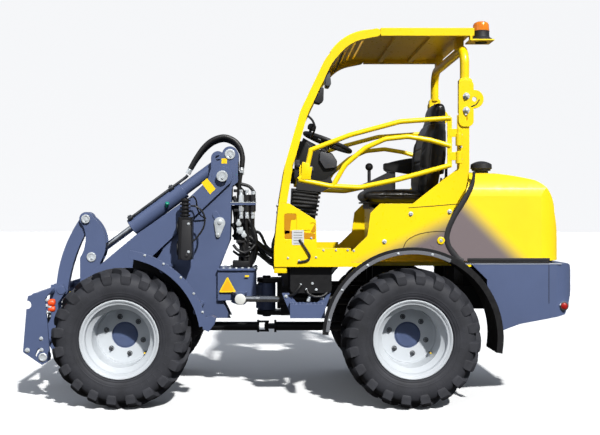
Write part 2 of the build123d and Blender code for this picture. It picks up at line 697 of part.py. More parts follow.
with BuildPart() as beacon:
    with BuildSketch(Plane.XZ.offset(-BEACON[1])):
        with BuildLine():
            Polyline((BEACON[0], BEACON_LOW), (BEACON[0] + 62, BEACON_LOW), (BEACON[0] + 60, BEACON_LOW + 9),
                     (BEACON[0] + 47, BEACON_LOW + 18), (BEACON[0] + 44, BEACON_LOW + 50),
                     (BEACON[0] + 45, BEACON_LOW + 52), (BEACON[0] + 42, BEACON_LOW + 98))
            dome(BEACON[0], BEACON_LOW + 98, 42, 13)
            Line((BEACON[0], BEACON_LOW + 111), (BEACON[0], BEACON_LOW))
        make_face()
    revolve(axis=Axis((*BEACON, 0), (0, 0, 1)))
save(beacon, "beacon")

# ================================================================ seat
with BuildPart() as seat_base:
    mid_box((-690, -170, 1100.3), (-420, 170, 1132))
    # right arm with its pad and the joystick's pod
    mid_box((-640, -290, 1106), (-600, -170, 1124))
    mid_box((-640, -290, 1106), (-600, -258, 1345))
    with BuildSketch(along(-250)):
        with BuildLine():
            Polyline((-568, 1352), (-590, 1336), (-640, 1336), (-763, 1392), (-763, 1430))
            ThreePointArc((-763, 1430), (-650, 1412), (-575, 1392))
            Line((-575, 1392), (-568, 1352))
        make_face()
        face_of(((-600, 1200), (-440, 1216), (-432, 1262), (-470, 1276), (-600, 1340)))
    extrude(amount=54)
    with BuildSketch(Plane.XY.offset(1262)):
        with Locations((-472, -277)):
            Circle(11)
    extrude(amount=110)
    with Locations((-472, -277, 1372)):
        Sphere(25)
save(seat_base, "seat_base")

with BuildPart() as seat_cushion:
    with BuildSketch(Plane.XZ):
        face_of(((-372, 1140), (-372, 1205), (-420, 1222), (-720, 1205), (-740, 1132.3), (-400, 1132.3)))
    extrude(amount=240, both=True)
save(seat_cushion, "seat_cushion")

with BuildPart() as seat_back:
    with BuildSketch(Plane.XZ):
        face_of(((-720.5, 1206), (-762, 1620), (-800, 1750), (-870, 1750), (-884, 1600), (-846, 1160),
                 (-740.5, 1132.3)))
    extrude(amount=230, both=True)
save(seat_back, "seat_back")

# ================================================================ controls
WHEEL_C = (-183.0, 1509.0)
WHEEL_TILT = 22.0
BELLOWS = 6
with BuildPart() as console:
    with BuildSketch(Plane.XZ):
        face_of(((10, 1215), (-30, 1530), (-120, 1480), (-215, 1240), (-140, 1200)))
    extrude(amount=95, both=True)
    with BuildSketch(Plane.XZ):
        face_of(((40, 1225), (-130, 1212), (-80, 880), (60, 860)))
    extrude(amount=70, both=True)
    mid_box((-60, -60, CAB_FLOOR + 24.3), (60, 60, 900))
    # bellows round the column's foot
    for k in range(BELLOWS):
        z = 1058 + 26 * k
        mid_box((-118 - 4 * k, -84, z), (40 - 4 * k, 84, z + 14))
    # steering column
    lean = Plane(origin=(WHEEL_C[0], 0, WHEEL_C[1]), x_dir=(0, 1, 0),
                 z_dir=(-sin(radians(WHEEL_TILT)), 0, cos(radians(WHEEL_TILT))))
    with BuildSketch(lean.offset(-16 - RUN)):
        Circle(24)
    extrude(amount=-150)
save(console, "console")

with BuildPart() as steering_wheel:
    with BuildSketch(Plane(origin=(WHEEL_C[0], 0, WHEEL_C[1]), x_dir=lean.x_dir, z_dir=lean.y_dir)):
        with Locations((150, 0)):
            Circle(13)
    revolve(axis=Axis((WHEEL_C[0], 0, WHEEL_C[1]), lean.z_dir))
    with BuildSketch(lean.offset(-16)):
        Circle(34)
    extrude(amount=26)
    with BuildSketch(lean.offset(-6)):
        with PolarLocations(0, 3, start_angle=90):
            with Locations((78, 0)):
                Rectangle(140, 22)
    extrude(amount=8)
save(steering_wheel, "steering_wheel")

# ================================================================ doors
DOOR_TOP = ((-838, 1606), (-556, 1586), (-276, 1511), (-58, 1427), (-30, 1300), (10, 1262))
DOOR_LOW = ((10, 1262), (-165, 1226), (-332, 1218), (-556, 1265), (-838, 1343))
DOOR_ARCH = ((-181, 1226), (-248, 1343), (-360, 1438), (-472, 1489), (-600, 1503), (-723, 1483), (-838, 1450))
for name, side in (("door_left", 1), ("door_right", -1)):
    y = side * DOOR_Y
    with BuildPart() as door:
        for path, bend in ((DOOR_TOP[:4], 150), (DOOR_LOW, 150), (DOOR_ARCH, 90), (DOOR_TOP[3:], 30)):
            tube([(px, y, pz) for px, pz in path], DOOR_R, bend)
        with Locations((DOOR_TOP[3][0], y, DOOR_TOP[3][1])):
            Sphere(DOOR_R)
        # rear plate with its hinge knuckles
        with BuildSketch(along(y + 4)):
            face_of(((-846, 1610), (-820, 1610), (-820, 1330), (-846, 1330)))
        extrude(amount=8)
        for z in DOOR_KNUCKLES:
            with BuildSketch(Plane.XY.offset(z)):
                with Locations((DOOR_HINGE[0], y)):
                    Circle(13)
                with Locations(((DOOR_HINGE[0] - 833) / 2, y)):
                    Rectangle(-833 - DOOR_HINGE[0], 10)
                with Locations((DOOR_HINGE[0], y)):
                    Circle(6 + RUN, mode=Mode.SUBTRACT)
            extrude(amount=KNUCKLE)
        # latch plate
        with BuildSketch(along(y + 4)):
            face_of(((-66, 1330), (10, 1345), (14, 1250), (-50, 1238)))
        extrude(amount=8)
    save(door, name)

# ================================================================ steering cylinder
def eye_to_eye(start, end):
    return hypot(end[0] - start[0], end[1] - start[1])


STEER_LEN = eye_to_eye(STEER_BASE, STEER_EYE)
STEER_DIR = degrees(atan2(STEER_EYE[1] - STEER_BASE[1], STEER_EYE[0] - STEER_BASE[0]))
STEER_BORE = 18.0
STEER_TUBE = 400.0
STEER_TAIL = 256.0        # where the rod ends inside the barrel, at rest
with BuildPart() as steer_barrel:
    lie = Plane(origin=(*STEER_BASE, STEER_Z), x_dir=(0, 0, 1),
                z_dir=(cos(radians(STEER_DIR)), sin(radians(STEER_DIR)), 0))
    with BuildSketch(lie.offset(20)):
        Circle(22)
    extrude(amount=30)
    with BuildSketch(lie.offset(48)):
        Circle(31)
    extrude(amount=STEER_TUBE)
    with BuildSketch(Plane.XY.offset(STEER_Z - 25)):
        with Locations(STEER_BASE):
            Circle(28)
    extrude(amount=50)
    with BuildSketch(lie.offset(60)):
        Circle(STEER_BORE + RUN)
    extrude(amount=STEER_TUBE, mode=Mode.SUBTRACT)
    with BuildSketch(Plane.XY.offset(STEER_Z - 30)):
        with Locations(STEER_BASE):
            Circle(14 + RUN)
    extrude(amount=60, mode=Mode.SUBTRACT)
save(steer_barrel, "steer_barrel")

with BuildPart() as steer_rod:
    with BuildSketch(lie.offset(STEER_TAIL)):
        Circle(STEER_BORE)
    extrude(amount=STEER_LEN - STEER_TAIL - 20)
    with BuildSketch(Plane.XY.offset(STEER_Z - 18)):
        with Locations(STEER_EYE):
            Circle(26)
    extrude(amount=36)
save(steer_rod, "steer_rod")

# ================================================================ front frame with the tower
# rear edge, foot and front edge of a tower plate, as (X, Z)
TOWER = ((366, 1431), (366, 1262), (403, 1236), (415, 909), (488, 727), (470, 560), (409, 436),
         (860, 436), (900, PAD_TOP), (1085, PAD_TOP), (1085, 572), (905, 600), (862, 790), (560, 1240),
         (530, 1347), (530, 1408))
BLOCK_TOP = 739.0
with BuildPart() as front_frame:
    with BuildSketch(along(TOWER_OUT)):
        face_of(TOWER)
        disc_at(T, 48)
        disc_at(TOWER_HOLE, 42)
        disc_at(TOWER_HOLE, 17, mode=Mode.SUBTRACT)
        disc_at(A, MAIN_PIN_R + RUN, mode=Mode.SUBTRACT)
    extrude(amount=TOWER_OUT - TOWER_IN)
    mirror(about=Plane.XZ)
    # pins of the two cylinders, with their caps
    for place, radius in ((T, 24), (B, 24)):
        with BuildSketch(Plane.XZ):
            disc_at(place, radius)
        extrude(amount=TOWER_OUT, both=True)
    # teardrop keeper plates on the lift cylinder's pin
    for y in (TOWER_OUT + 7, -TOWER_OUT):
        with BuildSketch(along(y)):
            disc_at(B, 34)
            bar(B, (B[0] + 26, B[1] + 52), 36)
        extrude(amount=7)
    # chassis between and beside the plates
    mid_box((430, -TOWER_IN, 436), (860, TOWER_IN, 452))
    mid_box((900, -TOWER_IN, PAD_TOP), (1085, TOWER_IN, PAD_TOP + 16))
    both_boxes((920, TOWER_OUT, PAD_TOP), (1064, 200, PAD_TOP + 20))
    mid_box((1069, -TOWER_IN, PAD_TOP + 16), (1085, TOWER_IN, 572))
    mid_box((257, -110, 545), (488, 110, 727))
    mid_box((250, -124, BLOCK_TOP - 12), (488, 124, BLOCK_TOP))
    # bracket with the oil couplings behind the left plate
    mid_box((258, 44, 1122), (410, TOWER_OUT, 1136))
    for x in (276, 312, 348):
        with BuildSketch(Plane.XY.offset(1086)):
            with Locations((x, 64)):
                RegularPolygon(15, 6)
        extrude(amount=96)
    # hub of the articulation
    mid_box((PIVOT_X + 20, -45, HUB_LOW + 12), (257, 45, HUB_HIGH - 12))
    with BuildSketch(Plane.XY.offset(HUB_LOW)):
        with Locations((PIVOT_X, 0)):
            Circle(HUB_R)
    extrude(amount=HUB_HIGH - HUB_LOW)
    with BuildSketch(Plane.XY.offset(HUB_LOW - 5)):
        with Locations((PIVOT_X, 0)):
            Circle(PIN_R + RUN)
    extrude(amount=HUB_HIGH - HUB_LOW + 10, mode=Mode.SUBTRACT)
    # lugs for the steering cylinder's rod
    ex, ey = STEER_EYE
    for low in (STEER_Z - 32, STEER_Z + 18 + RUN):
        with BuildSketch(Plane.XY.offset(low)):
            face_of(((ex - 36, 110), (ex - 26, ey), (ex + 26, ey), (ex + 60, 110)))
            with Locations((ex, ey)):
                Circle(26)
        extrude(amount=14 - RUN)
save(front_frame, "front_frame")

# ================================================================ front fenders
FRONT_C = (AXLES["front"] + 16, AXLE_Z - 13)
FRONT_R = 462.0
with BuildPart() as front_fenders:
    with BuildSketch(along(FENDER_OUT)):
        arc_band(FRONT_C, FRONT_R, FRONT_R + 8, 98, 170)
    extrude(amount=FENDER_OUT - 378)
    with BuildSketch(along(FENDER_OUT)):
        arc_band(FRONT_C, FRONT_R - 4, FRONT_R + 42, 98, 170)
    extrude(amount=8)
    # folded foot at the lower end
    with BuildSketch(along(FENDER_OUT)):
        face_of(((540, 500), (490, 512), (466, 500), (474, 468), (506, 426), (538, 440)))
    extrude(amount=70)
    # arms to the tower plates
    for angle in (122, 160):
        px = FRONT_C[0] + (FRONT_R - 10) * cos(radians(angle))
        pz = FRONT_C[1] + (FRONT_R - 10) * sin(radians(angle))
        with BuildSketch(along(FENDER_OUT - 60)):
            disc_at((px, pz), 14)
        extrude(amount=FENDER_OUT - 60 - TOWER_OUT)
    mirror(about=Plane.XZ)
save(front_fenders, "front_fenders")

# ================================================================ boom
BOOM_TOP = ((520, 1298), (656, 1171), (983, 941), (1201, 759), (1312, 664), (1362, 600), (1450, 420))
BOOM_LOW = ((1378, 250), (1290, 400), (1195, 500), (1000, 702), (856, 838), (420, 1249))
with BuildPart() as boom:
    with BuildSketch(along(BOOM_OUT)):
        face_of(BOOM_TOP + ((1478, 270),) + BOOM_LOW)
        disc_at(A, 62)
        disc_at(N, 52)
    extrude(amount=BOOM_OUT - BOOM_IN)
    mirror(about=Plane.XZ)
    # bottom plate, and a top plate sunk below the tilt cylinder
    with BuildSketch(Plane.XZ):
        bar((915, 817), (1180, 567), 14)
        bar((800, 984), (1120, 742), 12)
    extrude(amount=BOOM_IN, both=True)
    # pin in the tower
    with BuildSketch(Plane.XZ):
        disc_at(A, MAIN_PIN_R)
    extrude(amount=BOOM_OUT + 8, both=True)
    # lugs for the lift cylinder
    for s in (LINK_HALF + 8, -LINK_HALF - 24):
        with BuildSketch(along(s + 16)):
            disc_at(P, 40)
            face_of(((940, 705), (1000, 660), (1062, 676), (936, 796)))
        extrude(amount=16)
    # bosses inside the plates at the lever's and the hitch's pins
    for place in (C, N):
        with BuildSketch(along(BOOM_IN)):
            disc_at(place, 40)
        extrude(amount=BOOM_IN - LEVER_OUT - GAP)
        with BuildSketch(along(-LEVER_OUT - GAP)):
            disc_at(place, 40)
        extrude(amount=BOOM_IN - LEVER_OUT - GAP)
        with BuildSketch(Plane.XZ):
            disc_at(place, LINK_PIN_R + RUN)
        extrude(amount=BOOM_OUT + 10, both=True, mode=Mode.SUBTRACT)
save(boom, "boom")


# ================================================================ cylinders of the loader
def cylinder(start, end, tube_from, tube_to, tube_r, neck_r, rod_r, eye_half, tail):
    """Barrel and rod between two pins of the side view. The rod slides in the barrel's bore."""
    length = hypot(end[0] - start[0], end[1] - start[1])
    axis = line_plane(start, end)
    with BuildPart() as barrel:
        with BuildSketch(axis.offset(20)):
            Circle(neck_r)
        extrude(amount=tube_from - 20)
        with BuildSketch(axis.offset(tube_from)):
            Circle(tube_r)
        extrude(amount=tube_to - tube_from)
        with BuildSketch(Plane.XZ):
            disc_at(start, 40)
        extrude(amount=eye_half, both=True)
        with BuildSketch(axis.offset(tube_from + 14)):
            Circle(rod_r + RUN)
        extrude(amount=tube_to, mode=Mode.SUBTRACT)
        with BuildSketch(Plane.XZ):
            disc_at(start, 24 + RUN)
        extrude(amount=eye_half + 5, both=True, mode=Mode.SUBTRACT)
    with BuildPart() as rod:
        with BuildSketch(axis.offset(tail)):
            Circle(rod_r)
        extrude(amount=length - tail - 14)
        with BuildSketch(Plane.XZ):
            disc_at(end, 34)
        extrude(amount=LINK_HALF, both=True)
    return barrel, rod


PIPE_AT = (36.0, 50.0)       # pipe's middle, across and above the barrel's axis
lift_barrel, lift_rod = cylinder(B, P, 44, 520, 44, 36, 22, 40, 64)
save(lift_barrel, "lift_barrel")
save(lift_rod, "lift_rod")
tilt_barrel, tilt_rod = cylinder(T, M, 360, 750, 54, 37, 20, 40, 460)
with BuildPart() as piped_barrel:
    add(tilt_barrel.part)
    # oil pipe along the barrel, in two clamps
    pipe = line_plane(T, M)
    for start, run, radius in ((300, 440, 8), (400, 24, 15), (712, 24, 15)):
        with BuildSketch(pipe.offset(start)):
            with Locations(PIPE_AT):
                Circle(radius)
        extrude(amount=run)
save(piped_barrel, "tilt_barrel")
save(tilt_rod, "tilt_rod")


# ================================================================ lever, link and hitch
def turning_pin(place, half):
    """Pin through a bore that turns with the lever's or the hitch's follow-up motion."""
    with BuildPart() as pin:
        with BuildSketch(Plane.XZ):
            disc_at(place, LINK_PIN_R)
        extrude(amount=half, both=True)
    return pin


lever_pin = turning_pin(C, BOOM_OUT + 6)
save(lever_pin, "lever_pin")
link_pin = turning_pin(K, LEVER_OUT + 8)
save(link_pin, "link_pin")
with BuildPart() as hitch_pin:
    add(turning_pin(N, BOOM_OUT + 15).part)
    # spacer sleeve between the hitch's lugs, and the caps outside the boom
    with BuildSketch(Plane.XZ):
        disc_at(N, 38)
    extrude(amount=LEVER_IN - 1, both=True)
    for y in (BOOM_OUT + 15, -BOOM_OUT - 1):
        with BuildSketch(along(y)):
            disc_at(N, 46)
        extrude(amount=14)
save(hitch_pin, "hitch_pin")

with BuildPart() as lever:
    for y in (LEVER_OUT, -LEVER_IN):
        with BuildSketch(along(y)):
            disc_at(K, 42)
            disc_at(C, 60)
            with BuildLine() as banana:
                ThreePointArc((1332, 1024), (1303, 955), (1303, 880))
                ThreePointArc((1303, 880), (1316, 834), (1334, 800))
                Polyline((1334, 800), (1334, 640), (1215, 632), (1212, 770))
                ThreePointArc((1212, 770), (1178, 905), (1264, 1056))
                Line((1264, 1056), (1332, 1024))
            make_face(banana.edges())
            disc_at(K, LINK_PIN_R + RUN, mode=Mode.SUBTRACT)
            disc_at(C, LINK_PIN_R + RUN, mode=Mode.SUBTRACT)
        extrude(amount=LEVER_OUT - LEVER_IN)
    # the caps stand for the pin that the tilt rod's eye ends on
    for y in (LEVER_OUT + 4, -LEVER_OUT):
        with BuildSketch(along(y)):
            disc_at(M, 30)
        extrude(amount=4)
    # cross web low between the plates
    with BuildSketch(Plane.XZ):
        bar((1236, 624), (1222, 676), 12)
    extrude(amount=LEVER_IN, both=True)
save(lever, "lever")

with BuildPart() as link:
    with BuildSketch(Plane.XZ):
        disc_at(K, 40)
        disc_at(H, 36)
        with BuildLine() as curve:
            ThreePointArc((1266, 1020), (1371, 796), (1416, 596))
            Line((1416, 596), (1486, 606))
            ThreePointArc((1486, 606), (1454, 797), (1328, 1055))
            Line((1328, 1055), (1266, 1020))
        make_face(curve.edges())
        disc_at(K, LINK_PIN_R + RUN, mode=Mode.SUBTRACT)
    extrude(amount=LINK_HALF, both=True)
save(link, "link")

HITCH_Y = 450.0
LOCK = (1452.0, 262.0)    # bore for an attachment's lock pin
LOCK_R = 15.0
LOCK_LEN = 40.0
HITCH_SIDE = ((1390, 652), (1442, 590), (1430, 471), (1412, 246), (1458, 217), (1565, 290), (1542, 584),
              (1537, 606))
with BuildPart() as hitch:
    # side uprights
    with BuildSketch(along(HITCH_Y)):
        face_of(HITCH_SIDE)
        disc_at((1542, 556), 24, mode=Mode.SUBTRACT)
        bar((1490, 268), (1476, 304), 13, mode=Mode.SUBTRACT)
    extrude(amount=16)
    # stop plate for an attachment's upper bar, and the block of the oil couplings
    with BuildSketch(along(HITCH_Y - 16)):
        face_of(((1458, 480), (1478, 480), (1478, 606), (1440, 606), (1440, 586), (1458, 586)))
    extrude(amount=26)
    mid_box((1428, HITCH_Y - 50, 520), (1458, HITCH_Y - 16, 574))
    with BuildSketch(along(HITCH_Y)):
        disc_at(LOCK, 36)
    extrude(amount=LOCK_LEN)
    with BuildSketch(along(HITCH_Y)):
        disc_at(LOCK, LOCK_R)
    extrude(amount=LOCK_LEN, mode=Mode.SUBTRACT)
    mirror(about=Plane.XZ)
    # cross tubes and the middle lugs
    for place, radius in (((1505, 600), 20), ((1520, 300), 20)):
        with BuildSketch(Plane.XZ):
            disc_at(place, radius)
        extrude(amount=HITCH_Y - 16, both=True)
    mid_box((1470, -LEVER_IN, 560), (1540, LEVER_IN, 640), mode=Mode.SUBTRACT)
    for y in (LEVER_IN + 18, -LEVER_IN):
        with BuildSketch(along(y)):
            face_of(((1420, 596), (1440, 636), (1512, 634), (1545, 300), (1490, 212), (1405, 200),
                     (1388, 250), (1462, 330), (1470, 520)))
            disc_at(N, LINK_PIN_R + RUN, mode=Mode.SUBTRACT)
        extrude(amount=18)
    for y in (LEVER_IN + 22, -LEVER_IN - 18):
        with BuildSketch(along(y)):
            disc_at(H, 26)
        extrude(amount=4)
save(hitch, "hitch")

# ================================================================ small assemblies
with BuildPart() as headlamps:
    with BuildSketch(Plane.XY.offset(800)):
        with Locations((672, 190)):
            RectangleRounded(84, 120, 16)
    extrude(amount=250)
    # lens rings on the front face
    for z in (865, 985):
        with BuildSketch(Plane.YZ.offset(714)):
            with Locations((190, z)):
                Circle(44)
                Circle(34, mode=Mode.SUBTRACT)
        extrude(amount=8)
    # ribbed housing of the wiring on top
    for start, run, radius in ((1050, 112, 22), (1056, 10, 31), (1078, 10, 31), (1100, 10, 31), (1122, 10, 31),
                               (1144, 10, 31)):
        with BuildSketch(Plane.XY.offset(start)):
            with Locations((676, 190)):
                Circle(radius)
        extrude(amount=run)
    with BuildSketch(along(140)):
        disc_at((690, 880), 14)
    extrude(amount=140 - TOWER_OUT)
    mirror(about=Plane.XZ)
save(headlamps, "headlamps")

STEP_TOP = 566.0
STEP_Y = 500.0
with BuildPart() as steps:
    # tread with its outer lip turned down
    both_boxes((-137, 402, STEP_TOP - 8), (59, STEP_Y, STEP_TOP))
    both_boxes((-137, STEP_Y - 6, 487), (59, STEP_Y, STEP_TOP))
    both_boxes((-137, 402, 508), (59, 408, STEP_TOP))
    # legs up to the tanks
    for y in (408, -402):
        with BuildSketch(along(y)):
            face_of(((104, TANK_LOW - RUN), (62, TANK_LOW - RUN), (20, STEP_TOP), (-8, 520), (-8, 500),
                     (59, 508)))
            face_of(((-176, TANK_LOW - RUN), (-136, TANK_LOW - RUN), (-100, STEP_TOP), (-100, 508),
                     (-137, 508)))
        extrude(amount=6)
save(steps, "steps")

with BuildPart() as tail_lamps:
    both_boxes((-1540, 300 + RUN, 545 + RUN), (-1505 - RUN, 380 - RUN, 590 - RUN))
save(tail_lamps, "tail_lamps")

with BuildPart() as hoses:
    for y in (-24, 24):
        tube([(390, y, 1262), (330, y, 1200), (330, y, 900), (300, y, 820), (300, y, BLOCK_TOP + RUN)], 11, 40)
save(hoses, "hoses")
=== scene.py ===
"""Looks of a compact articulated wheel loader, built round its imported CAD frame. Metres."""
import json
import math

import bmesh
import bpy
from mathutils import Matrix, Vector


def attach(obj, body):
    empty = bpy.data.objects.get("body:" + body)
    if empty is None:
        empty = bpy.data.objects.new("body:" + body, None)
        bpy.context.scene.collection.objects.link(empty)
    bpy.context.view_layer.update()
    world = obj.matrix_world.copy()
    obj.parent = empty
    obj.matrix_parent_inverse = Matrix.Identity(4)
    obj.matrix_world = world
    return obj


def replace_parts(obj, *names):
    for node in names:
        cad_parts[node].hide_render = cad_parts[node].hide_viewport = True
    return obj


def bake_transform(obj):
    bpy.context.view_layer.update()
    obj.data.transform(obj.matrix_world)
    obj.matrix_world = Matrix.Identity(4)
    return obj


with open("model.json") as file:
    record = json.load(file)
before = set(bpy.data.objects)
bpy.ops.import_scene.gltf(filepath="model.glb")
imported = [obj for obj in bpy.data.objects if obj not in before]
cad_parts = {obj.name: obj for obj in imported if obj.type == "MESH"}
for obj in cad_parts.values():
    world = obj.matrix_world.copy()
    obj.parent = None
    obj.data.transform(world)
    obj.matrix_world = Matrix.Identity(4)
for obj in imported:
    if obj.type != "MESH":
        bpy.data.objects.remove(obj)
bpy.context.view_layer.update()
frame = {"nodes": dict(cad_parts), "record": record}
nodes = frame["nodes"]
X, Y, Z = (Vector(way) for way in ((1, 0, 0), (0, 1, 0), (0, 0, 1)))

# ---------------- small mesh helpers


def link(obj):
    bpy.context.scene.collection.objects.link(obj)
    return obj


def mesh_object(name, bm, material, smooth=35):
    """Object from a bmesh, smooth except at edges sharper than the angle in degrees."""
    mesh = bpy.data.meshes.new(name)
    bm.normal_update()
    for edge in bm.edges:
        if len(edge.link_faces) == 2:
            edge.smooth = edge.calc_face_angle(0) < math.radians(smooth)
    for face in bm.faces:
        face.smooth = True
    bm.to_mesh(mesh)
    bm.free()
    mesh.materials.append(material)
    return link(bpy.data.objects.new(name, mesh))


# ---------------- materials


class Nodes:
    """Short way to build the node tree of a material or of the world."""

    def __init__(self, owner, shader="Principled BSDF"):
        owner.use_nodes = True
        self.tree = owner.node_tree
        self.shader = self.tree.nodes[shader]

    def add(self, kind, **inputs):
        node = self.tree.nodes.new(kind)
        self.fill(node, inputs)
        return node

    def fill(self, node, inputs):
        for key, value in inputs.items():
            node.inputs[key.replace("_", " ")].default_value = value

    def link(self, out, into):
        self.tree.links.new(out, into)

    def split(self, space):
        """Sockets for the X, Y and Z of the place."""
        node = self.add("ShaderNodeSeparateXYZ")
        self.link(self.add("ShaderNodeTexCoord").outputs[space], node.inputs[0])
        return node.outputs

    def math(self, operation, *values):
        """Math node whose values are numbers or sockets."""
        node = self.add("ShaderNodeMath")
        node.operation = operation
        for socket, value in zip(node.inputs, values):
            if isinstance(value, float):
                socket.default_value = value
            else:
                self.link(value, socket)
        return node.outputs[0]

    def noise(self, scale, detail=4.0, rough=0.6):
        node = self.add("ShaderNodeTexNoise", Scale=scale, Detail=detail, Roughness=rough)
        self.link(self.add("ShaderNodeTexCoord").outputs["Object"], node.inputs["Vector"])
        return node.outputs["Fac"]

    def ramp(self, source, stops, into):
        """Two colours over the source, as (place, colour), led into one of the shader's inputs."""
        node = self.add("ShaderNodeValToRGB")
        for element, (place, value) in zip(node.color_ramp.elements, stops):
            element.position = place
            element.color = (*value, 1)
        self.link(source, node.inputs["Fac"])
        self.link(node.outputs["Color"], self.shader.inputs[into])


def surface(name, colour, mottle, shades, rough, wear=None, grain=None, edge=0.002, **inputs):
    """Material with a mottled colour, a worn roughness, and a grain over softened edges.

    mottle and wear begin with their noise's scale and detail, grain ends with strength and
    distance. Shades are (place, factor) of the colour; wear ends with two factors of the
    roughness, and takes up the mottle's noise when its own is None.
    """
    material = bpy.data.materials.new(name)
    n = Nodes(material)
    tone = n.noise(*mottle)
    stops = [(place, [min(1.0, c * factor) for c in colour]) for place, factor in shades]
    n.ramp(tone, stops, "Base Color")
    if wear:
        own_noise, low, high = wear
        source = n.noise(*own_noise) if own_noise else tone
        n.ramp(source, ((0.3, (rough * low,) * 3), (0.75, (rough * high,) * 3)), "Roughness")
    if grain:
        scale, detail, strength, distance = grain
        soft = n.add("ShaderNodeBevel", Radius=edge)
        soft.samples = 6
        bump = n.add("ShaderNodeBump", Strength=strength, Distance=distance)
        n.link(n.noise(scale, detail), bump.inputs["Height"])
        n.link(soft.outputs["Normal"], bump.inputs["Normal"])
        n.link(bump.outputs["Normal"], n.shader.inputs["Normal"])
    n.fill(n.shader, {"Roughness": rough, **inputs})
    return material


def painted(name, colour, rough=0.32, coat=0.35, edge=0.0025, peel=0.04):
    """Enamel on steel, with an orange peel."""
    return surface(name, colour, (3.1, 3.0), ((0.3, 0.93), (0.7, 1.04)), rough,
                   ((38.0, 5.0), 0.85, 1.25), (420.0, 2.0, peel, 0.0006), edge,
                   Specular_IOR_Level=0.36, Coat_Weight=coat * 0.4, Coat_Roughness=0.2)


def plastic(name, colour, rough=0.55, grain=0.25, scale=900.0):
    """Moulded plastic with a fine grain."""
    return surface(name, colour, (6.0, 3.0), ((0.3, 0.85), (0.7, 1.15)), rough,
                   grain=(scale, 3.0, grain, 0.0005), Specular_IOR_Level=0.4)


def metal(name, colour, rough=0.25, scratch=0.12, body=1.0):
    """Bare, plated or ground metal with faint streaks."""
    return surface(name, colour, (24.0, 5.0), ((0.25, 0.82), (0.75, 1.06)), rough,
                   (None, 0.7, 1.4), (260.0, 4.0, scratch, 0.0003), 0.0012, Metallic=body)


def lens(name, colour):
    """Clear or tinted lamp glass."""
    return surface(name, colour, (18.0, 2.0), ((0.3, 0.9), (0.7, 1.1)), 0.08,
                   Transmission_Weight=0.35, IOR=1.49)


YELLOW = (0.86, 0.62, 0.004)


def paled(material, axis_x, axis_z, stops):
    """Turn part of a painted material stone grey, fading along a line of the side view."""
    n = Nodes(material)
    colour = n.shader.inputs["Base Color"]
    base = colour.links[0].from_socket
    place = n.split("Object")
    along = n.math("MULTIPLY_ADD", place["Z"], axis_z, n.math("MULTIPLY", place["X"], axis_x))
    share = n.add("ShaderNodeMapRange", From_Min=stops[0], From_Max=stops[1])
    share.interpolation_type = "SMOOTHSTEP"
    n.link(along, share.inputs["Value"])
    mix = n.add("ShaderNodeMix")
    mix.data_type = "RGBA"
    n.link(share.outputs["Result"], mix.inputs["Factor"])
    mix.inputs["A"].default_value = (0.155, 0.125, 0.132, 1)
    n.link(base, mix.inputs["B"])
    n.link(mix.outputs["Result"], colour)
    return material


MATERIALS = {
    "yellow_paint": painted("yellow_enamel", YELLOW, 0.3),
    "blue_grey_paint": painted("blue_grey_enamel", (0.074, 0.1, 0.19), 0.4, 0.25, peel=0.06),
    "black_paint": painted("black_enamel", (0.0045, 0.0045, 0.0055), 0.48, 0.12),
    "bright_steel": metal("ground_steel", (0.6, 0.62, 0.64), 0.24),
    # grey bloom in patches over a fine pitted skin
    "tyre_rubber": surface("tyre_rubber", (0.0215, 0.0225, 0.0275), (7.0, 6.0, 0.65),
                           ((0.32, 0.8), (0.7, 1.5)), 0.68, grain=(500.0, 3.0, 0.2, 0.0006),
                           edge=0.003, Specular_IOR_Level=0.32),
    "rim_paint": painted("light_grey_enamel", (0.46, 0.49, 0.52), 0.36, 0.2),
    "beacon_lens": lens("amber_lens", (0.95, 0.26, 0.01)),
    "black_plastic": plastic("black_plastic", (0.013, 0.013, 0.015)),
    "seat_cover": plastic("seat_vinyl", (0.012, 0.011, 0.01), 0.36, 0.5, 260.0),
    "red_lens": lens("red_lens", (0.5, 0.01, 0.01)),
    "hose_rubber": plastic("hose_rubber", (0.01, 0.01, 0.011), 0.46, 0.2),
}
ZINC = metal("zinc_plate", (0.56, 0.6, 0.63), 0.36, body=0.35)
CHROME = metal("chromed_rod", (0.75, 0.76, 0.78), 0.1, scratch=0.03)
DARK_STEEL = metal("dark_steel", (0.12, 0.125, 0.135), 0.42)
LABEL = painted("yellow_film", (0.86, 0.58, 0.01), 0.35, 0.5, edge=0.0005)
WHITE_FILM = painted("silver_film", (0.55, 0.57, 0.58), 0.3, 0.5, edge=0.0005)
GREEN_CAP = plastic("green_cap", (0.0, 0.2, 0.13), 0.4, 0.1)
ORANGE_CAP = plastic("orange_cap", (0.75, 0.07, 0.01), 0.4, 0.1)
CLEAR = lens("clear_lens", (0.75, 0.78, 0.8))
SCREEN = plastic("dark_display", (0.02, 0.024, 0.03), 0.12, 0.02)
HOOD_PAINT = paled(painted("yellow_hood_enamel", YELLOW, 0.55, 0.1), -1.0, 1.0, (1.962, 2.13))
PANEL_PAINT = paled(painted("yellow_panel_enamel", YELLOW, 0.3), 0.447, 0.894, (0.485, 0.61))
DEEP_BLACK = plastic("cab_plastic", (0.0085, 0.0085, 0.0082), 0.42, 0.2)
# darker ochre yellow for the cowl's recesses: painted shade of their insides
RECESS_PAINTED_SHADE = painted("recess_painted_shade_enamel", (0.5, 0.22, 0.003), 0.4, 0.2)
VINYL = surface("seat_vinyl", (0.0075, 0.0068, 0.006), (700.0, 3.0), ((0.3, 1), (0.7, 1)), 0.36,
                grain=(700.0, 3.0, 0.22, 0.0006), Specular_IOR_Level=0.45)
SHEET, BLUE, BLACK, ENAMEL, HOSE = (MATERIALS[slot] for slot in (
    "yellow_paint", "blue_grey_paint", "black_plastic", "black_paint", "hose_rubber"))
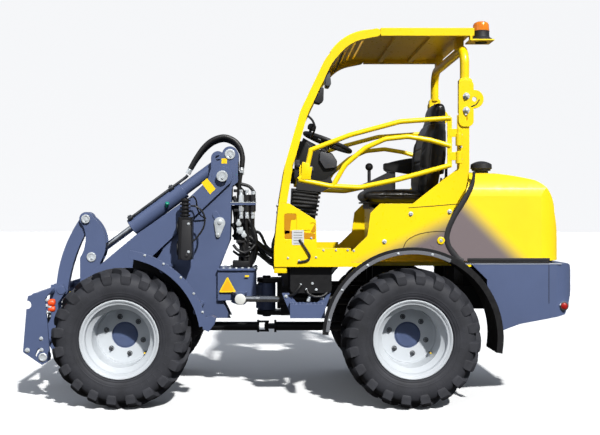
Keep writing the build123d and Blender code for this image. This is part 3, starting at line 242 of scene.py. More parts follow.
# slot of each material, which done() works out but doesn't keep
SLOT_OF = {material.name: slot for slot, material in MATERIALS.items()}
SLOT_OF |= {ZINC.name: "bright_steel", CHROME.name: "bright_steel", LABEL.name: "yellow_paint",
            DEEP_BLACK.name: "black_plastic"}
own = {"hood": HOOD_PAINT, "side_panels": PANEL_PAINT}
for part in frame["record"]["subparts"]:
    paints = nodes[part["node"]].data.materials
    paints.clear()
    paints.append(own.get(part["node"], MATERIALS[part["material_slot"]]))

# ---------------- forms gathered into one mesh
SIDES = ("left", "right")


def basis(axis):
    """The axis at length 1, and two directions across it."""
    axis = axis.normalized()
    side = axis.orthogonal().normalized()
    if abs(axis.z) < 0.9:
        side = Z.cross(axis).normalized()
    return axis, side, axis.cross(side)


def polar(place, side, up, radius, steps):
    """Points round a place, from the direction side towards the direction up."""
    return [place + (side * math.cos(turn) + up * math.sin(turn)) * radius
            for turn in (2 * math.pi * k / steps for k in range(steps))]


class Form:
    """Mesh put together from turned, swept and cut forms. Millimetres of the CAD frame.

    All is given for the left side. A tag that ends with "right" moves it to the other side,
    and the tag also ends the name of the piece.
    """

    def __init__(self, tag=""):
        self.bm = bmesh.new()
        self.tag = tag and "_" + tag
        self.side = -1 if tag.endswith("right") else 1

    def at(self, place):
        x, y, z = place
        return Vector((x, self.side * y, z))

    def skin(self, rings, cap=True):
        """Faces between rings of points that each have the same count."""
        verts = [[self.bm.verts.new(Vector(p) / 1000) for p in ring] for ring in rings]
        count = len(verts[0])
        for low, high in zip(verts, verts[1:]):
            for k in range(count):
                m = (k + 1) % count
                self.bm.faces.new((low[k], low[m], high[m], high[k]))
        if cap:
            self.bm.faces.new(list(reversed(verts[0])))
            self.bm.faces.new(verts[-1])
        return verts

    def lathe(self, origin, axis, profile, steps=32, cap=True):
        """Turned form; the profile is (distance along the axis, radius) and may end at its start."""
        axis, side, up = basis(self.at(axis))
        loop = profile[0] == profile[-1]
        verts = self.skin([polar(self.at(origin) + axis * a, side, up, r, steps)
                           for a, r in profile], cap and not loop)
        if loop:
            bmesh.ops.remove_doubles(self.bm, verts=verts[0] + verts[-1], dist=1e-7)
        return self

    def prism(self, outline, low, high, corner=0):
        """Outline in X and Z, its corners rounded, pushed along Y from low to high."""
        if corner:
            outline = round_outline(outline, corner)
        ends = sorted((self.side * low, self.side * high))
        self.skin([[(x, y, z) for x, z in outline] for y in ends])
        return self

    def box(self, low, high):
        (a, b, c), (d, e, f) = low, high
        return self.prism(((a, c), (d, c), (d, f), (a, f)), b, e)

    def hexagon(self, origin, axis, radius, height):
        profile = ((0, radius), (height * 0.8, radius), (height, radius * 0.86))
        return self.lathe(origin, axis, profile, 6)

    def bolt(self, origin, axis, radius):
        """Hexagon head on its washer."""
        self.lathe(origin, axis, ((-1, radius * 1.45), (radius * 0.25, radius * 1.4)), 20)
        return self.hexagon(Vector(origin) + Vector(axis) * radius * 0.25, axis, radius, radius * 0.75)

    def pipe(self, points, radius, steps=12, fine=6):
        """Round bar or hose along a smooth line through the points."""
        line = smooth_line([self.at(p) for p in points], fine)
        side = directions(line)[0].orthogonal()
        rings = []
        for place, way in zip(line, directions(line)):
            side = (side - way * side.dot(way)).normalized()
            rings.append(polar(place, side, way.cross(side), radius, steps))
        self.skin(rings)
        return self

    def mirrored(self):
        """Add the same forms on the machine's other side."""
        everything = self.bm.verts[:] + self.bm.edges[:] + self.bm.faces[:]
        copied = bmesh.ops.duplicate(self.bm, geom=everything)["geom"]
        for vert in copied:
            if isinstance(vert, bmesh.types.BMVert):
                vert.co.y = -vert.co.y
        faces = [face for face in copied if isinstance(face, bmesh.types.BMFace)]
        bmesh.ops.reverse_faces(self.bm, faces=faces)
        return self

    def done(self, name, material, body="rear_chassis", slot="", bevel=0, smooth=35, segments=2):
        """Piece on its body. Its slot, from its material if no other or None is given, is worked out but
        not kept.
        """
        bmesh.ops.recalc_face_normals(self.bm, faces=self.bm.faces[:])
        if bevel:
            sharp = [e for e in self.bm.edges
                     if len(e.link_faces) == 2 and e.calc_face_angle(0) > math.radians(38)]
            bmesh.ops.bevel(self.bm, geom=sharp, offset=bevel / 1000, segments=segments,
                            profile=0.6, affect="EDGES", clamp_overlap=True)
        obj = mesh_object(name + self.tag, self.bm, material, smooth)
        if body:
            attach(obj, body)
        slot = SLOT_OF.get(material.name) if slot == "" else slot
        return obj


def directions(line):
    """Unit vector of the way along the line at each of its points."""
    last = len(line) - 1
    return [(line[min(k + 1, last)] - line[max(k - 1, 0)]).normalized() for k in range(last + 1)]


def smooth_line(points, fine):
    """Points of a centripetal-like curve that passes through every given point."""
    if len(points) < 3:
        return points
    ends = [points[0] * 2 - points[1]] + points + [points[-1] * 2 - points[-2]]
    line = []
    for a, b, c, d in zip(ends, ends[1:], ends[2:], ends[3:]):
        for k in range(fine):
            t = k / fine
            square, cube = 2 * a - 5 * b + 4 * c - d, 3 * b - a - 3 * c + d
            line.append(0.5 * (2 * b + (c - a) * t + square * t * t + cube * t ** 3))
    line.append(points[-1])
    return line


def round_outline(corners, radius, steps=4):
    """Closed outline with its corners rounded."""
    out = []
    count = len(corners)
    for k in range(count):
        before, here, after = (Vector(corners[(k + d) % count]) for d in (-1, 0, 1))
        to_before, to_after = before - here, after - here
        half = to_before.angle(to_after) / 2
        reach = min(radius / math.tan(half), to_before.length * 0.49, to_after.length * 0.49)
        start, end = here + to_before.normalized() * reach, here + to_after.normalized() * reach
        for s in range(steps + 1):
            t = s / steps
            out.append(tuple(start * (1 - t) ** 2 + here * 2 * t * (1 - t) + end * t * t))
    return out


def on_arc(centre, radius, angle):
    """X and Z on a circle of the side view."""
    turn = math.radians(angle)
    return centre[0] + radius * math.cos(turn), centre[1] + radius * math.sin(turn)


def arc_points(centre, radius, first, last, steps):
    return [on_arc(centre, radius, first + (last - first) * k / steps) for k in range(steps + 1)]


# ---------------- wheels
AXLE_Z = 385.0
AXLES = {"front": 992.0, "rear": -608.0}
WHEEL_Y = 508.0
LUGS = 20
RIBS = 40
TREAD_RADIUS = 368.0
# half section of the carcass as (distance from the middle plane, radius)
CARCASS = ((0, 358), (40, 357.5), (72, 354), (95, 348), (112, 339), (122, 327), (128, 312), (130.5, 297),
    (131, 284), (130, 270), (127.5, 258), (127.8, 255), (126, 253), (125.5, 247), (123, 238), (120, 233),
    (121, 230.5), (120, 226), (114, 221), (113.5, 216.5), (110, 214.5), (107, 211), (105.5, 205),
    (105, 197.3))
# along a lug: (distance over the carcass from its middle, shift round the tyre, half width, height)
LUG_LINE = ((-9, 46, 10.5, 26), (4, 40, 15, 27), (22, 26, 17, 27), (42, 8, 18, 27), (62, -10, 19, 27),
    (80, -26, 21, 27), (96, -36, 24, 27), (110, -41, 27, 26.5), (122, -43, 28, 25.5),
    (133, -44, 28, 20.5), (143, -44.5, 27, 12.5), (151, -45, 25, 5.5), (156, -45, 22, 1.0))


def along_carcass(distance):
    """Place and normal on the carcass section, at a distance over it from the middle."""
    side = 1 if distance >= 0 else -1
    left = abs(distance)
    flip = Vector((side, 1))
    for start, end in zip(CARCASS, CARCASS[1:]):
        step = Vector(end) - Vector(start)
        if left <= step.length:
            place = Vector(start) + step * left / step.length
            return place * flip, Vector((-step.y, step.x)) / step.length * flip
        left -= step.length
    raise ValueError(distance)


# closed sections of the rim with its disc, and of the hub, as (distance from the middle plane, radius)
RIM_PROFILE = ((-118, 204), (-119.5, 210), (-117, 216), (-113, 216), (-108, 197.2), (-98, 194),
    (-84, 168), (58, 168), (84, 194), (108, 197.2), (113, 216.5), (117, 218), (119.8, 215),
    (119.4, 210.5), (116.5, 208), (115.8, 205), (111, 202), (107.5, 191), (103, 189), (85, 187.5),
    (60, 161.8), (-60, 161.2), (-67.5, 160.6), (-70.2, 159), (-71.2, 156.4), (-69.4, 154.6), (-69.4, 152),
    (-72, 149.5), (-72.5, 146), (-72.5, 79), (-73.6, 75.6), (-77, 74.5), (-84, 74.5), (-84, 140),
    (-88, 160), (-97, 187), (-107, 190.5), (-112, 202), (-118, 204))
HUB_PROFILE = ((-131, 53), (-131, 88), (-103, 92), (-97, 116), (-84.3, 116), (-84.3, 67), (-80.5, 65),
    (-79, 61), (-79, 30), (-77, 27), (-76.5, 0.4), (-92, 0.4), (-92, 53), (-131, 53))


def tyre_mesh():
    """Traction tyre round the Y axis, its outer side towards +Y."""
    form = Form()
    section = [(-y, r) for y, r in reversed(CARCASS[1:])] + list(CARCASS)
    form.lathe((0, 0, 0), Y, section, 120, cap=False)
    for side in (1, -1):
        for k in range(LUGS):
            # the lugs of one side stand between those of the other
            turn = (k + (0.5 if side < 0 else 0.0)) * 2 * math.pi / LUGS
            form.skin([lug_ring(side, turn, *station) for station in LUG_LINE])
    for side in (1, -1):
        for k in range(RIBS):
            form.skin([rib_ring(side, 2 * math.pi * k / RIBS, r, y)
                       for r, y in ((262, 127.4), (276, 129.6), (290, 130.0))])
    bmesh.ops.recalc_face_normals(form.bm, faces=form.bm.faces[:])
    return form.bm


def lug_ring(side, turn, distance, shift, half, height):
    """Section across a lug: foot, flank, shoulder and top, first of one flank, then of the other."""
    place, normal = along_carcass(distance)
    flank = [(half + 5.5, place - normal * 4), (half + 1.5, place + normal * height * 0.45),
             (half - 0.5, place + normal * (height - 1.8)), (half - 3, place + normal * height)]
    ring = []
    for offset, spot in [(-a, s) for a, s in flank] + flank[::-1]:
        angle = turn + (shift + offset) / TREAD_RADIUS
        reach = min(spot.y, TREAD_RADIUS + 16.6)
        ring.append((reach * math.sin(angle), side * max(-131.8, min(131.8, spot.x)),
                     reach * math.cos(angle)))
    return ring


def rib_ring(side, angle, radius, y):
    """Section of a small wear mark on the sidewall."""
    slant = 1.2 / radius
    return [(radius * math.sin(angle + w * slant), side * (y + lift),
             radius * math.cos(angle + w * slant))
            for lift, w in ((-1.5, -1), (1.0, -0.6), (1.0, 0.6), (-1.5, 1))]


def wheels():
    base = tyre_mesh()
    for axle, x in AXLES.items():
        for tag in SIDES:
            bm = base.copy()
            bmesh.ops.translate(bm, verts=bm.verts, vec=(x / 1000, WHEEL_Y / 1000, AXLE_Z / 1000))
            if tag == "right":
                for vert in bm.verts:
                    vert.co.y = -vert.co.y
                bmesh.ops.reverse_faces(bm, faces=bm.faces[:])
            name = f"{axle}_{tag}"
            tyre = mesh_object(f"traction_tyre_{name}", bm, MATERIALS["tyre_rubber"], 32)
            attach(tyre, f"wheel_{name}")
            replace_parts(tyre, f"tyre_{name}")
            wheel_dressing(name, x)
    base.free()


def wheel_dressing(tag, x):
    """Rim, hub, nuts ringed with painted shade, and valve of the wheel whose axle is at x."""
    body = f"wheel_{tag}"
    middle = Vector((x, WHEEL_Y, AXLE_Z))
    rim = Form(tag).lathe(middle, Y, RIM_PROFILE, 120)
    rim = rim.done("wheel_rim", MATERIALS["rim_paint"], body, smooth=28)
    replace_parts(rim, f"rim_{tag}")
    Form(tag).lathe(middle, Y, HUB_PROFILE, 64).done("wheel_hub", BLUE, body)
    studs, nut_shades = Form(tag), Form(tag)
    for k in range(6):
        angle = math.radians(60 * k + 15)
        spot = middle + Vector((math.cos(angle) * 107, -73, math.sin(angle) * 107))
        # flat black rings round the nuts: painted shade of the dark recesses round them
        nut_shades.lathe(spot, Y, ((-0.5, 15.5), (0.8, 15), (0.8, 11.5), (-0.4, 11)), 24)
        studs.hexagon(spot, Y, 10.6, 12.4)
        studs.lathe(spot, Y, ((12, 5.6), (19, 5.6), (20, 4.8)), 16)
    studs.done("wheel_nuts", DARK_STEEL, body, bevel=0.6)
    nut_shades.done("nut_recess_painted_shade", ENAMEL, body)
    angle = math.radians(-38 if tag.endswith("left") else -142)
    spot = middle + Vector((-math.cos(angle) * 152, -42, math.sin(angle) * 152))
    stem = Form(tag).lathe(spot, Y, ((-14, 5.4), (4, 5.4), (7, 3.6), (20, 3.4)), 14)
    stem.done("valve_stem", BLACK, body, None)
    cap = Form(tag).lathe(spot + Y * 19, Y, ((0, 4.6), (9, 4.8), (11, 3.4)), 14)
    cap.done("valve_cap", LABEL, body, None)


wheels()


# ---------------- loader and front frame
# pins in the side view, on the tower: boom, tilt cylinder, lift cylinder
A, T, B = (459.5, 1296.0), (414.5, 1431.0), (477.0, 1014.0)
# on the boom: lever, hitch
C, N = (1275.0, 632.0), (1431.0, 235.0)
# on the lever: tilt cylinder, link
M, K = (1263.6, 805.0), (1297.0, 1037.5)
BOOM_FACE = 108.0
TOWER_FACE = 85.0
BLOCK_FACE = 124.0
# along the tilt cylinder, and up across it
TILT_WAY, TILT_UP = Vector((0.805, 0, -0.593)), Vector((0.593, 0, 0.805))
FRONT_FENDER = (1008, 372)
REAR_FENDER = (-612, 392)
COUPLING_XS = (276, 312, 348)


def pin_cap(form, place, y, radius, thick=7.0):
    """Plated washer with a domed pin end and its lock screw."""
    spot = (place[0], y, place[1])
    form.lathe(spot, Y, ((-2, radius), (thick - 1.5, radius), (thick, radius - 1.5),
        (thick, radius * 0.62), (thick - 2, radius * 0.58), (thick - 2, radius * 0.2), (thick - 1, 0.5)),
        40)
    form.hexagon((place[0] - radius * 0.1, y + thick - 2, place[1] - radius * 0.32), Y, radius * 0.26, 7)


def loader_pins():
    caps = Form().lathe((A[0], BOOM_FACE, A[1]), Y, ((0, 27), (27, 27)), 32)
    pin_cap(caps, A, BOOM_FACE + 26, 34)
    caps.mirrored().done("boom_pin_caps", ZINC, "boom")
    caps = Form()
    pin_cap(caps, T, TOWER_FACE, 32)
    # teardrop keeper of the lift cylinder's pin
    tear = arc_points(B, 34, -25, 205, 18) + arc_points((B[0] + 9, B[1] - 76), 13, 200, 340, 8)
    caps.prism(tear, TOWER_FACE + 0.4, TOWER_FACE + 13)
    caps.lathe((B[0], TOWER_FACE + 12, B[1] + 4), Y, ((0, 15), (4, 15), (5, 13.5), (5, 0.5)), 30)
    caps.hexagon((B[0] + 9, TOWER_FACE + 12, B[1] - 72), Y, 8, 7)
    caps.mirrored().done("tower_pin_caps", ZINC, "front_frame", bevel=1)
    caps = Form()
    pin_cap(caps, M, 48, 29)
    pin_cap(caps, K, 56, 27)
    caps.mirrored().done("lever_pin_caps", ZINC, "lever")
    caps = Form()
    for place in (C, N):
        pin_cap(caps, place, BOOM_FACE + 10, 30)
    caps.mirrored().done("boom_end_caps", ZINC, "boom")


def labels():
    """Blank films where the machine has signs."""
    film = Form().prism(((552, 1284), (500, 1220), (534, 1187), (586, 1255)), BOOM_FACE + 0.2,
        BOOM_FACE + 0.8)
    film.done("boom_label", LABEL, "boom")
    film = Form().box((433, TOWER_FACE + 0.2, 1374), (466, TOWER_FACE + 0.8, 1405))
    film.prism(((428, 692), (480, 596), (375, 596)), BLOCK_FACE + 0.2, BLOCK_FACE + 0.9, 7)
    film.box((298, BLOCK_FACE + 0.2, 688), (323, BLOCK_FACE + 0.8, 699))
    film.done("frame_labels", LABEL, "front_frame")
    bars = Form()
    for x in (443, 453):
        bars.box((x, TOWER_FACE + 0.7, 1377), (x + 4, TOWER_FACE + 1, 1402))
    bars.prism(((428, 678), (466, 604), (389, 604)), BLOCK_FACE + 0.8, BLOCK_FACE + 1.1, 5)
    bars.done("frame_label_fields", painted("amber_film", (0.8, 0.4, 0.01), 0.4, 0.3, edge=0.0005),
        "front_frame", "yellow_paint")


def fitting(form, place, axis, radius=11.0, length=44.0):
    """Crimped hose end with its hexagon nut."""
    place, axis = Vector(place), Vector(axis).normalized()
    form.lathe(place, axis, ((0, radius), (length * 0.14, radius * 1.06), (length * 0.2, radius * 0.95),
        (length * 0.3, radius * 1.06), (length * 0.36, radius * 0.95), (length * 0.46, radius * 1.06),
        (length * 0.52, radius * 0.8), (length * 0.62, radius * 0.72)), 18)
    form.lathe(place + axis * length * 0.6, axis, ((0, radius * 1.12), (length * 0.4, radius * 1.12)), 6)


def loader_hoses():
    # loop from behind the tower over the cylinder's pin to the pipe on the barrel
    for name, y, lift in (("near", 36.0, 0.0), ("far", 4.0, -16.0)):
        loop = Form().pipe(((345, y + 8, 1352), (341, y + 6, 1418), (357, y + 4, 1478 + lift),
            (394, y, 1520 + lift), (454, y, 1541 + lift), (520, y, 1523 + lift), (576, y, 1478 + lift),
            (624, y, 1410 + lift * 0.5), (660, y, 1345)), 15.5, 16, 8)
        obj = loop.done(f"tilt_hose_{name}", HOSE, None)
        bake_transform(obj)
        lower, upper = Form(), Form()
        fitting(lower, (345, y + 8, 1362), (0.02, 0, -1), 14, 52)
        lower.done(f"tilt_hose_lower_fitting_{name}", ZINC, "front_frame")
        fitting(upper, (653, y, 1358), (0.48, 0, -0.87), 14, 50)
        upper.done(f"tilt_hose_upper_fitting_{name}", ZINC, "tilt_barrel")
    start = Vector((T[0], 0, T[1]))
    pipes = Form().pipe(((676, 36, 1306), (686, 36, 1294), (700, 36, 1283)), 9.2)
    pipes.pipe(((686, 36, 1293.5), (1040, 36, 1032.4)), 8.8, 16)
    pipes.done("tilt_pipe", DARK_STEEL, "tilt_barrel")
    clamps = Form()
    for along in (412, 724):
        spot = start + TILT_WAY * along + TILT_UP * 50 + Y * 36
        clamps.lathe(spot - TILT_WAY * 14, TILT_WAY, ((0, 17), (28, 17)), 24)
        clamps.bolt(spot + TILT_UP * 15, TILT_UP, 7)
    clamps.done("tilt_pipe_clamps", DARK_STEEL, "tilt_barrel", bevel=1.5)
    gland = Form().lathe(start + TILT_WAY * 742, TILT_WAY, ((0, 55.5), (10, 55.5), (12, 53), (12, 24),
        (17, 24), (17, 21)), 48)
    gland.done("tilt_gland", BLUE, "tilt_barrel")
    green = Form().lathe((800, 60, 1124), (-0.2, 0.5, 0.85), ((-12, 9), (4, 9), (5, 13), (14, 13),
        (17, 9), (17, 0.5)), 20)
    green.done("green_cap_boom", GREEN_CAP, "boom")
    green = Form().lathe((389, 70, 1306), (-1, 0.1, 0.1), ((-10, 11), (6, 11), (7, 14), (16, 14),
        (18, 10), (18, 0.5)), 20)
    green.done("green_cap_tower", GREEN_CAP, "front_frame")


def tower_plumbing():
    """Hoses, couplings and valve gear behind the tower."""
    hose = Form().pipe(((392, 60, 1262), (345, 62, 1250), (300, 64, 1236), (274, 66, 1208),
        (270, 66, 1182)), 10.5)
    hose.pipe(((348, 64, 1320), (356, 62, 1272), (360, 58, 1210), (360, 52, 1150), (362, 40, 1060),
        (352, 36, 950), (330, 30, 840), (318, 22, 742)), 13)
    hose.pipe(((352, -30, 1330), (364, -28, 1230), (366, -20, 1120), (356, -10, 980), (338, -6, 850),
        (330, -4, 742)), 12)
    hose.pipe(((394, 40, 1176), (372, 42, 1120), (330, 46, 1062), (290, 48, 1012), (262, 46, 940),
        (256, 40, 860), (270, 30, 790), (300, 20, 742)), 13)
    hose.pipe(((396, 20, 1120), (380, 20, 1020), (352, 24, 950), (318, 30, 905), (286, 30, 880)), 11)
    hose.pipe(((404, 0, 1010), (376, -4, 950), (352, -6, 880), (350, 0, 800), (356, 6, 742)), 12)
    hose.pipe(((396, 56, 880), (370, 60, 850), (330, 62, 832), (290, 60, 850), (262, 50, 880)), 9)
    hose.pipe(((398, 30, 840), (366, 36, 818), (330, 38, 806), (298, 36, 812)), 8)
    hose.pipe(((402, -40, 940), (366, -44, 900), (340, -40, 830), (346, -40, 744)), 12)
    for x in COUPLING_XS:
        hose.pipe(((x, 64, 1086), (x + 4, 60, 1036), (x + 2, 48, 966), (x - 6, 34, 896), (x + 6, 24, 816),
            (x + 14, 16, 742)), 9.5)
    hose.done("tower_hoses", HOSE, "front_frame")
    silver = Form()
    for x in COUPLING_XS:
        fitting(silver, (x, 64, 1182), Z, 11, 34)
        fitting(silver, (x, 64, 1086), -Z, 12, 46)
    fitting(silver, (270, 66, 1206), -Z, 12, 40)
    for x, z in ((362, 1010), (352, 962), (330, 940)):
        silver.lathe((x, 66, z), Y, ((-16, 13), (8, 13), (9, 17), (20, 17)), 6)
        silver.lathe((x, 70, z), (0.1, 0, 1), ((-18, 9), (26, 9)), 14)
    silver.box((336, 50, 952), (374, 74, 988))
    silver.lathe((348, 64, 1085), Z, ((0, 17), (98, 17)), 6)
    sleeves = Form()
    for x in (276, 312):
        sleeves.lathe((x, 64, 1083), Z, ((0, 18), (102, 18), (104, 13)), 16)
    sleeves.done("coupling_sleeves", HOSE, "front_frame")
    silver.done("tower_fittings", ZINC, "front_frame", bevel=1)
    valve = Form().box((292, -30, 1010), (352, 50, 1112))
    valve.box((268, -72, 905), (398, -36, 1118))
    valve.box((300, -60, 742), (400, 60, 780))
    valve.box((300, -44, 880), (372, 34, 936))
    for y in (-16, 4, 24):
        valve.lathe((322, y, 1112), Z, ((0, 11), (14, 11), (16, 8), (30, 8)), 16)
    valve.done("valve_block", ENAMEL, "front_frame", bevel=3)
    clamp = Form()
    for z, x in ((1210, 360), (1090, 360), (900, 345)):
        clamp.box((x - 18, 18, z - 9), (x + 34, 64, z + 9))
    clamp.done("hose_clamps", BLACK, "front_frame", bevel=3)
    plate = Form().box((252, 40, 1136.2), (412, 88, 1140))
    plate.done("coupling_shelf_plate", ZINC, "front_frame", bevel=0.8)
    nuts = Form()
    for x in COUPLING_XS:
        nuts.hexagon((x, 64, 1140), Z, 18, 14)
    nuts.done("coupling_nuts", ZINC, "front_frame", bevel=0.8)


def articulation_hoses():
    """Bundle from the front frame across the turning joint to below the cab."""
    # Y and Z at the front frame, the same below the cab, radius
    ends = ((34, 930, 60, 845, 13), (10, 900, 30, 810, 12), (-16, 930, 0, 850, 13),
        (24, 862, 50, 790, 10), (-34, 880, -40, 800, 12), (44, 985, 84, 880, 9))
    for k, (y0, z0, y1, z1, r) in enumerate(ends):
        y = (y0 + y1) / 2
        form = Form().pipe(((300, y0, z0), (272, y0, z0 - 22), (232, y, z0 - 62 + 5 * k), (196, y, z1 - 4),
            (160, y1, z1 - 30), (118, y1, z1 - 26), (80, y1, z1 - 6), (44, y1, z1 + 4)), r, 12, 6)
        obj = form.done(f"joint_hose_{k}", HOSE, None)
        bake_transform(obj)
    boots = Form().lathe((128, 0, 846), (-1, 0, 0.1), ((0, 88), (12, 96), (20, 84), (32, 96), (44, 84),
        (56, 92)), 28)
    boots.done("bundle_grommet", BLACK, bevel=2)


def headlamp_dressing():
    for tag in SIDES:
        cable = Form(tag).pipe(((640, 226, 1116), (606, 236, 1112), (570, 232, 1082), (557, 226, 1040),
            (566, 222, 985), (604, 222, 930), (645, 226, 890)), 5.5, 10, 8)
        cable.pipe(((650, 200, 1160), (630, 196, 1172), (612, 180, 1150), (606, 160, 1100),
            (590, 120, 1060), (560, 96, 1040)), 4.5, 10, 8)
        cable.done("headlamp_cable", HOSE, "front_frame")
        plate = Form(tag).prism(((636, 1030), (690, 1036), (696, 812), (684, 796), (644, 796),
            (630, 826)), 250, 256, 16)
        plate.lathe((662, 256, 824), Y, ((-1, 10), (2, 10), (3, 8), (3, 0.5)), 20)
        plate.done("headlamp_bracket", BLACK, "front_frame", bevel=1.5)
        glass = Form(tag)
        for z in (865, 985):
            glass.lathe((714, 190, z), X, ((0.5, 33.5), (4, 33), (7, 26), (9, 14), (9.6, 1)), 40)
        glass.done("headlamp_glass", CLEAR, "front_frame")
        screws = Form(tag)
        for z in (846, 1010):
            screws.bolt((650, 256, z), Y, 6)
        screws.done("headlamp_screws", ZINC, "front_frame")


def front_details():
    for tag in SIDES:
        # dark inner wall of the fender, and the bolts along its edge
        wall = Form(tag)
        for radius, near in ((300, 370), (455, 382)):
            outer = arc_points(FRONT_FENDER, 464, 97, 176, 40)
            inner = arc_points(FRONT_FENDER, radius, 176, 97, 40)
            wall.prism(outer + inner, 364, near)
        wall.done("fender_inner_wall", ENAMEL, "front_frame")
        bolts = Form(tag)
        for angle in (108, 121, 135, 148, 161):
            x, z = on_arc(FRONT_FENDER, 496, angle)
            bolts.bolt((x, 600, z), Y, 5)
        bolts.done("front_fender_bolts", ZINC, "front_frame")
    # grease cap on the steering rod's pin
    cap = Form().lathe((346, 238, 567), Y, ((0, 30), (20, 33), (24, 30), (26, 22), (26, 0.5)), 36)
    cap.done("steering_pin_cap", plastic("white_cap", (0.62, 0.63, 0.6), 0.4, 0.1), "steer_rod")
    bolts = Form()
    for x in (262, 300, 338, 376, 414, 452):
        bolts.bolt((x, 108, 739), Z, 7)
    bolts.mirrored().done("block_bolts", ZINC, "front_frame")


def hitch_dressing():
    for tag in SIDES:
        cap = Form(tag)
        for z, r in ((566, 21), (530, 17)):
            cap.lathe((1428, 420, z), -X, ((0, r * 0.8), (8, r * 0.8), (9, r), (30, r), (36, r * 0.8),
                (38, r * 0.4), (38, 0.5)), 28)
        cap.done("coupling_caps", ORANGE_CAP, "hitch")
        steel = Form(tag).lathe((1420, 424, 548), -Z, ((0, 13), (10, 13), (12, 7), (62, 7), (64, 5)), 18)
        for x, z in ((1434, 582), (1436, 550), (1434, 512)):
            steel.lathe((x, 436, z), Y, ((-8, 10), (2, 10), (5, 7), (6, 0.5)), 18)
        steel.done("coupling_steel", ZINC, "hitch", bevel=0.6)
        hose = Form(tag).pipe(((1420, 424, 512), (1424, 420, 484), (1436, 404, 462), (1448, 376, 450)), 9)
        hose.done("coupling_hose", HOSE, "hitch")
        Form(tag).box((1362, 91.6, 586), (1388, 92.4, 597)).done("link_label", LABEL, "hitch")
        bright = Form(tag).bolt((1540, 450, 300), Y, 10)
        bright.bolt((1460, 450, 302), Y, 8)
        bright.lathe((1452, 450, 262), Y, ((-2, 24), (6, 24), (8, 21), (8, 16), (3, 15), (3, 0.5)), 32)
        bright.bolt((1462, 450, 366), Y, 8)
        bright.done("hitch_bolts", ZINC, "hitch")


loader_pins()
labels()
loader_hoses()
tower_plumbing()
articulation_hoses()
headlamp_dressing()
front_details()
hitch_dressing()


# ---------------- cab, hood and rear
SIDE = 470.0


def hood_details():
    # rubber seal in the gap between the side panels and the hood
    edge = ((-978, 1308), (-973, 1262), (-966, 1232), (-944, 1186), (-908, 1125), (-868, 1062),
        (-838, 1000), (-824, 948), (-828, 905), (-846, 866), (-882, 822), (-914, 803))
    line = smooth_line([Vector((x, 0, z)) for x, z in edge], 5)
    seal = Form()
    rings = []
    for k, (spot, way) in enumerate(zip(line, directions(line))):
        half = 6 + 9 * min(1.0, k / 18.0)
        rings.append([spot + Y.cross(way) * a + Y * (SIDE + b) for a, b in ((-half, -12), (-half, 1),
            (3 - half, 3.2), (half - 3, 3.2), (half, 1), (half, -12))])
    seal.skin(rings)
    seal.box((-1400, SIDE - 12, 792), (-905, SIDE + 2.5, 802))
    seal.mirrored().done("hood_seal", BLACK, smooth=50)
    # soft lower rim of the hood
    rim = Form().box((-1402, SIDE - 6, 804), (-940, SIDE + 3.0, 822))
    rim.mirrored().done("hood_lower_trim", BLACK, "hood", bevel=2)
    # ledge along the top of the blue body, paler than the body: painted highlight along its top edge
    shelf = Form().box((-1470, SIDE - 30, 786), (-900, SIDE + 1.2, 791.5))
    shelf.mirrored().done("body_top_edge", painted("body_edge_painted_highlight", (0.3, 0.33, 0.4), 0.4, 0.2))
    seam = Form().box((-1399, SIDE - 4, 566), (-1395.5, SIDE + 0.5, 785))
    seam.mirrored().done("counterweight_seam", BLACK)
    latch = Form().box((-1462, -34, 1120), (-1440, 34, 1150))
    latch.lathe((-1462, 0, 1135), -X, ((-4, 12), (6, 12), (8, 10), (8, 0.5)), 24)
    latch.done("hood_latch", BLACK, "hood", bevel=2)


def panel_knob(form, x, z, y, r):
    """Round screw head with a hollow in it."""
    form.lathe((x, y, z), Y, ((-1, r * 1.7), (1.5, r * 1.6), (2.5, r), (9, r), (11, r * 0.8),
        (11, r * 0.35), (8, r * 0.3), (8, 0.5)), 24)


def side_details():
    knobs = Form()
    for x, z in ((-621, 1070), (-839, 1082), (-472, 914)):
        panel_knob(knobs, x, z, SIDE + 0.2, 8)
    knobs.mirrored().done("panel_screws", ZINC)
    ring = Form().lathe((-790, SIDE + 0.2, 920), Y, ((-1, 22), (5, 21), (7, 18), (7, 12), (3, 10)), 32)
    ring.lathe((-472, SIDE + 0.1, 914), Y, ((-1, 17), (1.2, 16), (1.2, 13)), 28)
    ring.mirrored().done("panel_screw_rings", SHEET)
    screw = Form()
    panel_knob(screw, -790, 920, SIDE + 2, 7)
    screw.mirrored().done("panel_ring_screws", ZINC)
    # seams of the side panel
    dark = Form()
    y = SIDE + 0.2
    dark.pipe([(x, y, z) for x, z in ((-608, 1104), (-740, 1114), (-884, 1126))], 2.2, 6)
    dark.pipe([(x, y, z) for x, z in ((-574, 868), (-600, 920), (-660, 954), (-740, 970), (-820, 972))],
        2.2, 6)
    dark.mirrored().done("panel_seams", plastic("seam_shadow", (0.05, 0.035, 0.01), 0.8, 0.1))


